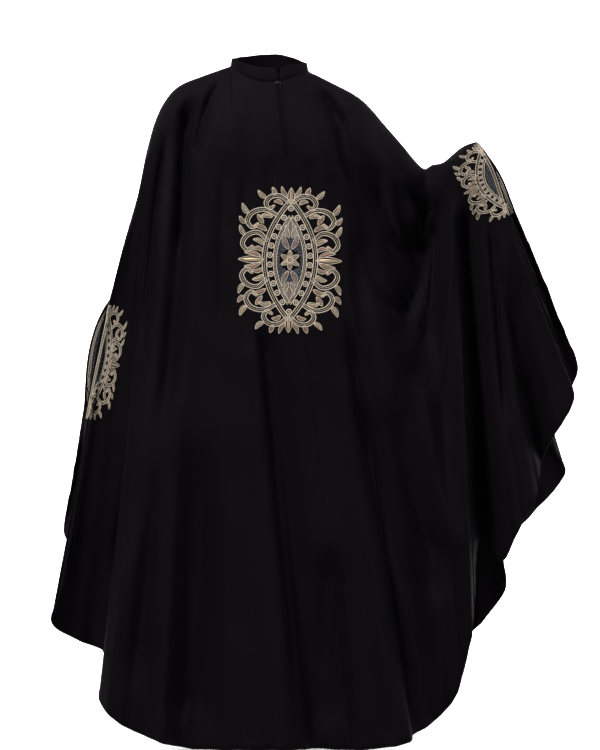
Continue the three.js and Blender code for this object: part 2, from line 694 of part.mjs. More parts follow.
// All the bands of one motif as a single body, without the crumbs that the trimming leaves
function motif(name, grid, frame, half) {
  const place = motifFrame(frame);
  const detail = half ? CUFF_STEPS : CHEST_STEPS;
  const bands = strokeBands(grid, place, detail, half);
  bands.push(ovalBand(grid, place, OUTER_OVAL, detail.oval, half));
  if (!half) bands.push(ovalBand(grid, place, INNER_OVAL, detail.oval, half));
  const joined = bands.filter(Boolean).map(solidOf).reduce((sum, solid) => sum.add(solid));
  const panel = solidOf(wallGeometry({ ...grid, wall: CLOTH_WALL, flip: grid.side === BACK }));
  const bodies = joined.subtract(swollenCloth(grid)).subtract(panel).decompose();
  const largest = bodies.reduce((best, body) => (body.volume() > best.volume() ? body : best));
  return namedMesh(name, geometryOf(largest), thread);
}

const abaya = new THREE.Group();
abaya.add(frontPanel(), backPanel(), standCollar(), collarHook());
abaya.add(motif("chest_embroidery", frontGrid, CHEST_MOTIF, false));
abaya.add(motif("low_cuff_front_embroidery", frontGrid, LOW_FRONT_MOTIF, true));
abaya.add(motif("low_cuff_back_embroidery", backGrid, LOW_BACK_MOTIF, true));
abaya.add(motif("raised_cuff_front_embroidery", frontGrid, RAISED_FRONT_MOTIF, true));
abaya.add(motif("raised_cuff_back_embroidery", backGrid, RAISED_BACK_MOTIF, true));

export default abaya;
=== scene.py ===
# A butterfly abaya of light black crepe, held out on a general figure: one arm low, the other raised.
import math

import bpy
import numpy as np
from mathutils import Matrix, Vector
from mathutils.bvhtree import BVHTree


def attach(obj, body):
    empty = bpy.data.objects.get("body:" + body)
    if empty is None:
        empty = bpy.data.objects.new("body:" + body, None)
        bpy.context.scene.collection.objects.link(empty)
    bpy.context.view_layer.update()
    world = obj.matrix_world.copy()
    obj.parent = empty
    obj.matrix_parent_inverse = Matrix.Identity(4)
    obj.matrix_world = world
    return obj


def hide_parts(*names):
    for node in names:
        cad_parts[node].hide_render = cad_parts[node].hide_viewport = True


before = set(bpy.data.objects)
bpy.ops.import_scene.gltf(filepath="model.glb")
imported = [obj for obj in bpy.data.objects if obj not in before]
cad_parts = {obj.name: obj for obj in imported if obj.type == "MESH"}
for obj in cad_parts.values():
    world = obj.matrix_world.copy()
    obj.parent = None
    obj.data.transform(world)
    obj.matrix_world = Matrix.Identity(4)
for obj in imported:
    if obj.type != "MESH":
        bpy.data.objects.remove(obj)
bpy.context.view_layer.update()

bl_info = {
    "name": "Butterfly Abaya",
    "version": (1, 0, 0),
    "blender": (4, 5, 0),
    "location": "View3D > Sidebar > Abaya",
    "description": "Makes a wide butterfly abaya with embroidered chest and cuffs",
    "category": "Add Mesh",
}

MM = 0.001
FRONT = -1
BACK = 1
BODY = "root"

# The pattern's tables are in millimetres, as a cutter writes them: x across, y depth, z up.
NECK = {"x": -2, "half_width": 80, "half_depth": 64, "front": -22, "back": 12, "low": 15, "raised": 5}
SLIT = {"x": 18, "width": 1.6, "length": 150, "binding": 1.3}
CHEST_DEPTH = {FRONT: 112, BACK: 100}
ARM_RADIUS = 48
CHEST_DROP = 190
ARM_DROP = 60
SHOULDER_REACH = (150, 250)
ROLL_REACH = (40, 170)
MOST_ROUND = 0.5
SKIRT_SWING = 1.1
FOLD_SWING = 1.9
FLARE_SPREAD = 3
CUFF_SWELL = {FRONT: {"low": 0, "raised": 10}, BACK: {"low": -22, "raised": 16}}
CUFF_SWELL_LEAN = 0.7
CUFF_SWELL_REACH = 2
CREASE_TAPER = 0.2
CREASE_STEPS = 24
ARM_STEPS = {"low": 96, "raised": 120}
NECK_STEPS = 24
EDGE_HOLD = 0.06
SEAM_GAP = 0.3
HEM_STEP = 9.5
ROWS = 128
ROW_CROWDING = 1.4

HEM = {"flatness": 0.62, "up": (0, 1, 0.2), "stitch_line": 1.1}
HEM_STITCH = {"lift": 0.4, "width": 0.6}
TRIM_STITCH = {"lift": 0.2, "width": 0.5}
STITCH_PITCH = 1.35
SHOULDER_SEAM = {"shift": (0.0, SEAM_GAP / 2, -0.3), "radius": 1.1, "flatness": 0.8}
COLLAR = {"front": 30, "back": 36, "side_dip": 14, "lean": 3, "inset": 1.1, "sink": 1, "wall": 2.4,
          "bulge": 0.7, "stitch_bulge": 0.8}
COLLAR_END = {"gap": 1.5, "corner": 12}
COLLAR_STEPS = {"round": 180, "corner": 12, "side": 4, "top": 6}
COLLAR_SEAM = {"inset": 0.5, "rise": 0.2, "radius": 1.2, "flatness": 0.8}
COLLAR_WAVES = ((0.5, 5, 0), (0.3, 11, 1))
COLLAR_STITCH_HEIGHTS = (0.12, 0.86)

SLIT_BINDING = {"out": 0.5, "proud": 0.3, "flatness": 0.7}
SLIT_STITCHES = {"out": 4.2, "proud": 0.4}
SLIT_BAR = {"from": -3, "to": 4.6, "proud": 0.6, "sink": 1.0, "radius": 0.9, "flatness": 0.9}
HOOK_WIRE = [(-7, -2.6, -3), (-5, -3.4, -2.6), (-2, -4.3, -3.2), (2, -4.5, -3.6), (4.6, -4.2, -4.4),
             (5.2, -3.8, -5.6), (3.6, -3.7, -6.2), (1.8, -3.8, -5.8)]
HOOK_LOOP = {"place": (-7, -2.9, -3), "half_width": 1.6, "half_height": 1.7, "turn": 5.6}
THREAD_BAR = [(6.6, -2.2, -2.2), (6.9, -3.8, -3.4), (6.9, -3.8, -5.6), (6.6, -2.2, -6.8)]
HOOK_RADIUS = {"wire": 0.55, "loop": 0.5, "bar": 0.6}


def table(columns, *rows):
    """Rows of values under column names, as dictionaries"""
    return [dict(zip(columns, row)) for row in rows]


# The line that both panels share, from the low wrist to the neck and on to the raised wrist
LOW_ARM_LINE = table(
    ("place", "x", "y", "z"),
    ("low wrist", -325, -20, -460),
    ("low forearm", -294, -5, -336),
    ("low elbow", -269, 10, -244),
    ("low upper arm", -250, 12, -152),
    ("below low shoulder", -229, 10, -83),
    ("low shoulder", -206, 5, -44),
    ("low shoulder top", -184, 0, -24),
    ("low collar bone", -136, 0, -4),
    ("neck side", -82, 0, 15),
)
RAISED_ARM_LINE = table(
    ("place", "x", "y", "z"),
    ("neck side", 78, 0, 5),
    ("raised collar bone", 122, 0, -17),
    ("raised shoulder", 172, 2, -43),
    ("below raised shoulder", 195, 5, -61),
    ("raised upper arm", 232, 12, -103),
    ("raised mid arm", 268, 22, -143),
    ("above raised elbow", 300, 36, -180),
    ("raised elbow pinch", 316, 45, -190),
    ("raised forearm", 328, 42, -182),
    ("raised mid forearm", 350, 20, -179),
    ("gathered forearm", 367, 0, -166),
    ("before raised wrist", 385, -25, -152),
    ("raised cuff start", 398, -42, -146),
    ("raised wrist", 412, -60, -143),
)

# Each row is one fall line of the cloth, a crest or a trough, from the shared line to the hem.
FALL_COLUMNS = ("line", "top", "hem_x", "hem_z", "hem_y")
FRONT_LINES = table(
    FALL_COLUMNS,
    ("low cuff edge", -325, -375, -704, -34),
    ("low wing", -321, -382, -822, -50),
    ("low wing", -315, -394, -952, -66),
    ("low wing", -307, -418, -1042, -84),
    ("low corner crest", -297, -436, -1106, -70),
    ("behind low corner", -276, -382, -1146, -30),
    ("low trough", -251, -324, -1172, -40),
    ("out of low trough", -226, -330, -1210, -90),
    ("second corner crest", -206, -337, -1252, -150),
    ("low side", -190, -295, -1294, -185),
    ("shoulder valley", -174, -258, -1314, -165),
    ("low side crest", -150, -217, -1328, -200),
    ("soft valley", -126, -168, -1344, -160),
    ("low skirt", -104, -105, -1344, -195),
    ("low skirt", -84, -28, -1340, -235),
    ("middle crest", -62, 56, -1335, -270),
    ("middle trough", -44, 91, -1340, -205),
    ("slit side", SLIT["x"] - SLIT["width"] / 2, 156, -1343, -212),
    ("slit side", SLIT["x"] + SLIT["width"] / 2, 156 + SLIT["width"], -1343, -212),
    ("raised skirt", 56, 218, -1335, -242),
    ("long crest", 88, 270, -1320, -278),
    ("long trough", 108, 285, -1313, -190),
    ("under the swags", 160, 315, -1298, -172),
    ("under the swags", 210, 339, -1279, -160),
    ("under the swags", 260, 357, -1257, -162),
    ("under the elbow", 300, 370, -1234, -170),
    ("elbow", 318, 380, -1194, -180),
    ("forearm drape", 345, 389, -1153, -195),
    ("drape corner crest", 372, 396, -1119, -205),
    ("drape edge", 382, 405, -1057, -150),
    ("deep valley", 390, 424, -940, -40),
    ("turned fold", 394, 462, -980, -90),
    ("wing crest", 398, 490, -924, -125),
    ("wing", 401, 530, -850, -100),
    ("wing trough", 403.5, 548, -776, -38),
    ("wing", 406, 568, -732, -70),
    ("wing tip crest", 408, 606, -656, -90),
    ("wing side", 409.5, 584, -576, -80),
    ("wing side", 411, 534, -420, -72),
    ("raised cuff edge", 412, 478, -294, -84),
)
BACK_LINES = table(
    FALL_COLUMNS,
    ("low cuff edge", -325, -380, -706, 30),
    ("low wing", -321, -410, -848, 60),
    ("low wing corner", -315, -422, -937, 72),
    ("behind low corner", -307, -392, -966, 50),
    ("low trough", -295, -372, -1022, 40),
    ("low crest", -278, -385, -1110, 120),
    ("low side", -257, -350, -1180, 150),
    ("low side trough", -231, -318, -1225, 110),
    ("shoulder crest", -206, -290, -1290, 205),
    ("shoulder trough", -180, -215, -1318, 160),
    ("low blade crest", -150, -160, -1340, 245),
    ("low blade trough", -112, -84, -1340, 180),
    ("low middle crest", -84, -20, -1348, 262),
    ("middle trough", -30, 52, -1342, 190),
    ("middle crest", 30, 120, -1348, 265),
    ("raised middle trough", 78, 185, -1338, 185),
    ("raised blade crest", 110, 248, -1330, 250),
    ("raised blade trough", 160, 290, -1300, 165),
    ("raised arm crest", 220, 345, -1262, 215),
    ("raised arm trough", 270, 368, -1210, 130),
    ("elbow crest", 318, 405, -1160, 175),
    ("forearm", 345, 444, -1112, 130),
    ("forearm crest", 366, 484, -1046, 100),
    ("deep trough", 380, 474, -958, 50),
    ("wing", 388, 534, -898, 90),
    ("wing crest", 395, 607, -811, 120),
    ("wing trough", 400, 572, -738, 50),
    ("wing tip", 404, 611, -642, 55),
    ("wing tip", 407, 627, -598, 50),
    ("wing side", 409.5, 588, -500, 15),
    ("wing side", 411, 546, -398, -5),
    ("raised cuff edge", 412, 496, -284, -22),
)

# Soft troughs (depth above zero) and ridges (below zero) with the width of their two sides
CREASE_COLUMNS = ("crease", "low_side", "raised_side", "depth", "path")
FRONT_CREASES = table(
    CREASE_COLUMNS,
    ("shoulder valley", 18, 26, 30, [(-150, -10), (-168, -100), (-176, -300), (-196, -560), (-212, -760)]),
    ("arm hollow", 18, 30, 28, [(-194, -60), (-224, -280), (-252, -562), (-278, -844), (-334, -1090)]),
    ("raised neck fold", 24, 20, 26, [(84, -4), (124, -70), (152, -150), (168, -250), (184, -330)]),
    ("long fold", 14, 36, 26, [(158, -480), (186, -700), (250, -1090), (274, -1300)]),
    ("sweeping trough", 34, 42, 32, [(180, -620), (226, -810), (282, -970), (352, -1070)]),
    ("swag", 34, 36, 28, [(192, -130), (212, -280), (256, -390), (300, -340), (322, -240)]),
    ("elbow trough", 26, 34, 30, [(326, -290), (306, -390), (284, -480), (266, -560)]),
    ("deep valley", 22, 20, 54, [(392, -190), (404, -420), (420, -680), (430, -960)]),
    ("wing valley", 22, 26, 28, [(476, -380), (514, -620), (544, -790)]),
)
FRONT_FINE_CREASES = table(
    CREASE_COLUMNS,
    ("neck crease", 8, 14, 12, [(-96, -8), (-120, -52), (-140, -116), (-156, -190)]),
    ("shoulder crease", 9, 12, 12, [(-164, -60), (-172, -140), (-178, -260), (-186, -400)]),
    ("arm crease", 12, 9, 10, [(-206, -110), (-226, -230), (-244, -380), (-262, -560)]),
    ("arm ridge", 14, 14, -7, [(-190, -120), (-204, -300), (-226, -560), (-252, -820)]),
    ("overlap trough", 7, 34, 15, [(-20, -502), (-10, -588), (14, -864), (34, -1050), (56, -1310)]),
    ("overlap ridge", 30, 10, -8, [(-34, -520), (-24, -600), (0, -864), (20, -1050), (42, -1310)]),
    ("second overlap", 30, 8, 11, [(152, -436), (172, -600), (196, -760), (232, -1000), (272, -1290)]),
    ("second overlap ridge", 10, 34, -8, [(168, -440), (190, -620), (214, -780), (250, -1010), (290, -1290)]),
    ("middle valley", 34, 34, 16, [(112, -940), (114, -1060), (112, -1200), (108, -1320)]),
    ("left valley", 44, 44, 18, [(-130, -700), (-138, -946), (-154, -1194), (-168, -1310)]),
    ("left skirt ridge", 30, 40, -10, [(-80, -640), (-74, -860), (-66, -1080), (-60, -1320)]),
    ("low side valley", 26, 20, 16, [(-218, -760), (-232, -900), (-252, -1080), (-270, -1240)]),
    ("chest pleat", 12, 16, 4, [(-92, -170), (-96, -290), (-98, -420), (-94, -560)]),
    ("chest pleat", 11, 14, 4, [(-46, -176), (-50, -250), (-52, -330), (-50, -420)]),
    ("chest pleat", 10, 12, 4, [(4, -170), (4, -215), (0, -260), (-6, -300)]),
    ("chest pleat", 11, 14, 4, [(78, -172), (84, -230), (88, -300), (96, -400)]),
    ("chest pleat", 12, 15, 5, [(124, -186), (134, -280), (142, -400), (150, -520)]),
    ("neck fold", 7, 13, 14, [(84, -6), (104, -32), (124, -72), (144, -120), (157, -200), (178, -280)]),
    ("neck fold ridge", 14, 9, -9, [(98, -8), (122, -36), (142, -76), (160, -130), (172, -210), (196, -300)]),
    ("long neck fold", 10, 18, 11, [(168, -300), (176, -420), (186, -560), (204, -700)]),
    ("outer swag", 14, 20, 14,
     [(178, -150), (190, -280), (208, -420), (252, -476), (304, -430), (328, -330)]),
    ("middle swag", 10, 14, 12,
     [(206, -150), (216, -260), (238, -340), (262, -352), (290, -330), (312, -262)]),
    ("inner swag", 9, 11, 14, [(270, -212), (268, -300), (284, -332), (304, -308), (314, -222)]),
    ("swag ridge", 12, 12, -10, [(232, -170), (240, -270), (262, -322), (286, -306), (306, -240)]),
    ("elbow pinch", 10, 12, 15, [(288, -232), (300, -262), (312, -292)]),
    ("elbow ridge", 13, 15, -10, [(330, -310), (318, -420), (288, -520), (270, -600)]),
    ("forearm trough", 10, 14, 12, [(340, -230), (336, -330), (322, -460), (300, -600)]),
    ("forearm ridge", 14, 12, -9, [(360, -230), (362, -360), (352, -520), (338, -680)]),
    ("deep crease", 10, 8, 10, [(394, -250), (402, -400), (416, -600), (428, -800)]),
    ("wing ridge", 18, 18, -8, [(452, -300), (474, -460), (490, -620), (500, -760)]),
    ("wing fold", 9, 14, 11, [(436, -280), (450, -430), (462, -580), (470, -740)]),
    ("under drape", 20, 30, 14, [(240, -640), (262, -760), (300, -900), (350, -1010)]),
    ("drape ridge", 24, 26, -10, [(300, -600), (322, -740), (350, -880), (376, -980)]),
)
BACK_CREASES = table(
    CREASE_COLUMNS,
    ("low shoulder valley", 22, 26, 26, [(-172, -40), (-190, -240), (-210, -520), (-236, -800)]),
    ("raised shoulder valley", 26, 22, 28, [(118, -20), (152, -160), (190, -380), (226, -640)]),
    ("back swag", 34, 36, 28, [(180, -120), (214, -290), (268, -400), (314, -330)]),
    ("wing valley", 24, 28, 30, [(400, -240), (440, -520), (470, -800)]),
)
BACK_FINE_CREASES = table(
    CREASE_COLUMNS,
    ("blade fold", 12, 20, 9, [(-118, -90), (-126, -260), (-134, -480), (-146, -760)]),
    ("blade ridge", 18, 14, -7, [(-92, -80), (-96, -260), (-100, -500), (-108, -780)]),
    ("spine fold", 14, 26, 8, [(-30, -160), (-26, -360), (-20, -640), (-8, -900)]),
    ("spine ridge", 24, 16, -7, [(6, -160), (14, -380), (24, -660), (36, -940)]),
    ("raised blade fold", 12, 18, 9, [(66, -90), (80, -260), (98, -480), (126, -760)]),
    ("raised blade ridge", 16, 14, -7, [(92, -90), (108, -260), (132, -480), (164, -760)]),
    ("low arm fold", 12, 16, 9, [(-206, -110), (-232, -300), (-258, -520), (-284, -760)]),
    ("outer swag", 18, 24, 11, [(160, -130), (188, -300), (236, -450), (290, -470), (330, -360)]),
    ("inner swag", 10, 14, 10, [(236, -170), (250, -280), (280, -330), (310, -260)]),
    ("forearm fold", 12, 16, 9, [(344, -230), (340, -360), (326, -520), (310, -700)]),
    ("wing fold", 14, 20, 10, [(420, -240), (456, -420), (492, -600), (520, -740)]),
    ("deep low valley", 40, 46, 16, [(-60, -820), (-66, -1000), (-74, -1180), (-80, -1300)]),
    ("deep middle valley", 40, 46, 16, [(90, -820), (98, -1000), (110, -1180), (120, -1300)]),
)

FINE_CREASE = {"gain": 2.1, "sharpness": 1.35}

# Small ripples across the whole cloth: wave length and height in millimetres, and the run's direction
RIPPLES = table(
    ("length", "height", "across", "down"),
    (148, 1.1, 1.0, 0.16),
    (83, 0.7, 1.0, -0.22),
    (47, 0.35, 0.9, 0.4),
    (212, 1.2, 0.5, 1.0),
    (61, 0.3, 0.35, 1.0),
)
RIPPLE_WANDER = {"reach": 1.4, "rate": 0.37}
HEM_RIPPLES = table(
    ("length", "height", "wander", "wander_length"),
    (74, 5.0, 2, 190),
    (41, 2.2, 3, 130),
)
HEM_RIPPLE_RISE = 3.0
HEM_RIPPLE_END = 120

# Embroidery motifs in their own flat frame: a runs across, b runs up, from the motif's middle.
CHEST_MOTIF = {"x": 40, "z": -382, "tilt": 0.02, "across": 1, "scale": 1}
LOW_FRONT_MOTIF = {"x": -344, "z": -583, "tilt": 0.2, "across": 0.5, "scale": 0.8}
LOW_BACK_MOTIF = {"x": -346, "z": -583, "tilt": 0.22, "across": 0.5, "scale": 0.8}
RAISED_FRONT_MOTIF = {"x": 447, "z": -221, "tilt": 2.73, "across": 1.15, "scale": 0.53}
RAISED_BACK_MOTIF = {"x": 450, "z": -218, "tilt": 2.6, "across": 0.95, "scale": 0.53}
OUTER_OVAL = {"half_width": 51, "half_height": 119, "band": 8.4}
INNER_OVAL = {"half_width": 30, "half_height": 87, "band": 6.4}
ROSETTE_OVAL = {"half_width": 40.2, "half_height": 103}
OVAL_TIP_GAP = 1e-6
MOTIF_STROKES = table(
    ("stroke", "path"),
    ("crown scroll", [(3, 114), (20, 127), (40, 126), (50, 113), (43, 102), (34, 107)]),
    ("shoulder scroll", [(26, 88), (50, 100), (76, 94), (86, 77), (76, 64), (65, 71)]),
    ("side scroll", [(45, 38), (64, 54), (86, 48), (95, 31), (85, 19), (75, 26)]),
)
STROKE_WIDTHS = (6.5, 8.5, 4.5)
MOTIF_LEAVES = table(
    ("leaf", "mirror", "width", "path", "finish"),
    ("tip leaf", "b", 13, [(0, 111), (0, 127), (0, 144)], "gold"),
    ("tip side leaf", "ab", 7, [(6, 124), (15, 134), (19, 146)], "copper"),
    ("side leaf", "a", 13, [(52, 0), (78, 0), (103, 0)], "gold"),
    ("side upper leaf", "ab", 8, [(58, 6), (74, 13), (90, 14)], "copper"),
    ("shoulder leaf", "ab", 8, [(54, 72), (62, 84), (66, 90)], "copper"),
    ("waist leaf", "ab", 8, [(47, 58), (60, 66), (74, 66)], "copper"),
    ("corner leaf", "ab", 9, [(84, 92), (92, 100), (97, 112)], "gold"),
    ("crown side leaf", "ab", 8, [(50, 124), (59, 129), (66, 138)], "gold"),
    ("field leaf", "ab", 9, [(3, 22), (11, 36), (14, 52)], "copper"),
    ("field leaf", "ab", 7, [(2, 44), (8, 56), (9, 70)], "gold"),
    ("side tip leaf", "ab", 8, [(90, 48), (97, 57), (101, 68)], "gold"),
    ("shoulder tip leaf", "ab", 8, [(88, 74), (96, 77), (102, 86)], "copper"),
    ("crown leaf", "ab", 8, [(30, 130), (34, 137), (37, 145)], "copper"),
    ("under the scroll", "ab", 8, [(52, 30), (62, 38), (74, 40)], "gold"),
    ("side lower leaf", "ab", 7, [(53, 17), (64, 23), (75, 21)], "copper"),
    ("shoulder inner leaf", "ab", 8, [(36, 85), (48, 89), (62, 85)], "gold"),
    ("crown inner leaf", "ab", 7, [(16, 111), (25, 117), (34, 116)], "copper"),
    ("field tip", "b", 8, [(0, 52), (0, 68), (0, 82)], "copper"),
)
PETALS = {"count": 6, "length": 15, "width": 8, "start": 5, "steps": 6}
STITCH = {"lift": 0.4, "cord": 1.7, "cord_height": 1.1, "step": 3.0}
LEAF = {"round": 0.8, "tip": 0.6, "fill": 0.5, "height": 0.66, "cord": 1.3, "vein": 0.8}
BEADS = {"band": 1.05, "band_step": 3.1, "least_band": 4, "field": 1.25, "field_step": 3.5,
         "centre": 2.0, "scroll_eye": 3.2}
ROSETTE = {"radius": 4.9, "ring": 2.1, "rise": 1.6, "steps": 14, "spacing": 19}
BEAD_FORM = {"shoulder": 0.72, "shoulder_height": 0.8, "height": 1.15}
BEAD_ROW = 0.87
DARK_BEADS = {"of": 7, "dark": 2}
CUFF_BAND = {"inset": 5.5, "width": 8.5, "end": 9}
THREADS = ("cream", "gold", "copper", "blue", "ink")

CREPE_WARMTH = (1.25, 1.05, 1.1)
YARNS_PER_WAVE = 6.0

# The stage, in metres
IMAGE_SIZE = (600, 750)
MM_PER_PIXEL = 2.0
CAMERA_PLACE = {"x": 0.060, "z": -0.610, "sensor": 24.0, "body_plane": 0.08}
GARMENT_MIDDLE = (0.06, 0.0, -0.62)
FLOOR = {"half_width": 9.0, "near": -8.0, "bend": 6.0, "radius": 1.6, "height": 6.0, "steps": 12}
WORLD_LIGHT = 0.05
LIGHTS = table(
    ("name", "place", "aim", "size", "power", "spread"),
    ("key_light", (-1.1, -1.8, 2.7), GARMENT_MIDDLE, 0.8, 1.0, 180),
    ("fill_light", (2.6, -3.0, 1.2), GARMENT_MIDDLE, 1.6, 0.11, 180),
    ("rim_light_low", (-3.0, 0.9, 0.6), GARMENT_MIDDLE, 1.4, 0.1, 180),
    ("rim_light_raised", (3.2, 0.6, 0.8), GARMENT_MIDDLE, 1.4, 0.26, 180),
    ("top_light", (0.2, 0.3, 2.4), GARMENT_MIDDLE, 2.0, 0.1, 180),
    ("backdrop_light", (0.0, 3.0, 3.6), (0.0, 5.5, -0.5), 3.0, 2.3, 120),
)


# Shared curves and steps


def smoothstep(value, low, high):
    share = np.clip((value - low) / (high - low), 0, 1)
    return share * share * (3 - 2 * share)


def mix(low, high, share):
    return low + (high - low) * share


def along_curve(points, where):
    """Points on a smooth curve through the given ones. where counts in given points, from 0."""
    points = np.asarray(points, float)
    where = np.atleast_1d(np.asarray(where, float))
    first = np.clip(np.floor(where).astype(int), 0, len(points) - 2)
    share = (where - first)[:, None]
    padded = np.vstack([2 * points[0] - points[1], points, 2 * points[-1] - points[-2]])
    before, start, end, after = (padded[first + k] for k in range(4))

    def stride(p, q):
        return np.maximum(np.linalg.norm(q - p, axis=1, keepdims=True) ** 0.5, 1e-4)

    back, here, on = stride(before, start), stride(start, end), stride(end, after)
    leave = (start - before) / back - (end - before) / (back + here) + (end - start) / here
    reach = (end - start) / here - (after - start) / (here + on) + (after - end) / on
    leave = leave * here
    reach = reach * here
    square = 3 * (end - start) - 2 * leave - reach
    cube = 2 * (start - end) + leave + reach
    return start + share * (leave + share * (square + share * cube))


def curve_samples(points, count):
    return along_curve(points, np.linspace(0, len(points) - 1, count + 1))


def reach_along(points):
    """The length of a path up to each of its points"""
    return np.concatenate([[0], np.cumsum(np.linalg.norm(np.diff(points, axis=0), axis=1))])


def unit(vectors):
    return vectors / np.maximum(np.linalg.norm(vectors, axis=-1, keepdims=True), 1e-12)


def rows_to_points(rows, names):
    return np.array([[row[name] for name in names] for row in rows], float)


def notch_angle():
    """Where the neck slit meets the neck opening"""
    return math.asin((SLIT["x"] - NECK["x"]) / NECK["half_width"])


def neck_points(angles):
    """The neck opening: an ellipse in plan that dips to the front. Angle 0 faces front."""
    x = NECK["x"] + NECK["half_width"] * np.sin(angles)
    y = -NECK["half_depth"] * np.cos(angles)
    side = mix(NECK["low"], NECK["raised"], (np.sin(angles) + 1) / 2)
    middle = np.where(y < 0, NECK["front"], NECK["back"])
    return np.stack([x, y, mix(side, middle, np.cos(angles) ** 2)], axis=-1)


class TopEdge:
    """The top edge of a panel: arm line, half of the neck opening, arm line"""

    def __init__(self, side):
        low = curve_samples(rows_to_points(LOW_ARM_LINE, "xyz"), ARM_STEPS["low"])
        raised = curve_samples(rows_to_points(RAISED_ARM_LINE, "xyz"), ARM_STEPS["raised"])
        swing = np.linspace(-math.pi / 2, math.pi / 2, NECK_STEPS + 1)[1:-1]
        arc = neck_points(swing if side == FRONT else math.pi - swing)
        self.points = np.vstack([low, arc, raised])
        self.reach = reach_along(self.points)

    def reach_at_x(self, x):
        if x <= self.points[0, 0]:
            return 0.0
        if x >= self.points[-1, 0]:
            return self.reach[-1]
        first = int(np.argmax((self.points[:-1, 0] <= x) & (x < self.points[1:, 0])))
        share = (x - self.points[first, 0]) / (self.points[first + 1, 0] - self.points[first, 0])
        return mix(self.reach[first], self.reach[first + 1], share)

    def at(self, reach):
        return np.stack([np.interp(reach, self.reach, self.points[:, k]) for k in range(3)], axis=-1)

    def parting(self, reach):
        """The level direction square to the shared line"""
        run = self.at(reach + 2) - self.at(reach - 2)
        return unit(np.stack([-run[:, 1], np.abs(run[:, 0]), np.zeros(len(run))], axis=-1))


def crease_push(crease, x, z, sharpness=2.0):
    """The push into the cloth that one crease gives at places in the front view"""
    line = curve_samples(crease["path"], CREASE_STEPS)
    best = np.full(x.shape, np.inf)
    along = np.zeros(x.shape)
    offset = np.zeros(x.shape)
    last = len(line) - 1
    for step in range(last):
        run = line[step + 1] - line[step]
        share = ((x - line[step, 0]) * run[0] + (z - line[step, 1]) * run[1]) / (run @ run)
        share = np.clip(share, 0, 1)
        gap_x = x - line[step, 0] - run[0] * share
        gap_z = z - line[step, 1] - run[1] * share
        gap = np.hypot(gap_x, gap_z)
        nearer = gap < best
        best = np.where(nearer, gap, best)
        along = np.where(nearer, (step + share) / last, along)
        offset = np.where(nearer, run[0] * gap_z - run[1] * gap_x, offset)
    width = np.where(offset < 0, crease["low_side"], crease["raised_side"])
    ends = smoothstep(along, 0, CREASE_TAPER) * smoothstep(1 - along, 0, CREASE_TAPER)
    return crease["depth"] * ends * np.exp(-((best / width) ** sharpness))


def ripples(x, z):
    """Small uneven waves in the cloth, in millimetres"""
    total = np.zeros(x.shape)
    for number, row in enumerate(RIPPLES):
        turn = 2 * math.pi * (x * row["across"] + z * row["down"]) / row["length"]
        wander = RIPPLE_WANDER["reach"] * np.sin(turn * RIPPLE_WANDER["rate"] + 2 * number)
        total += row["height"] * np.sin(turn + number + wander)
    return total


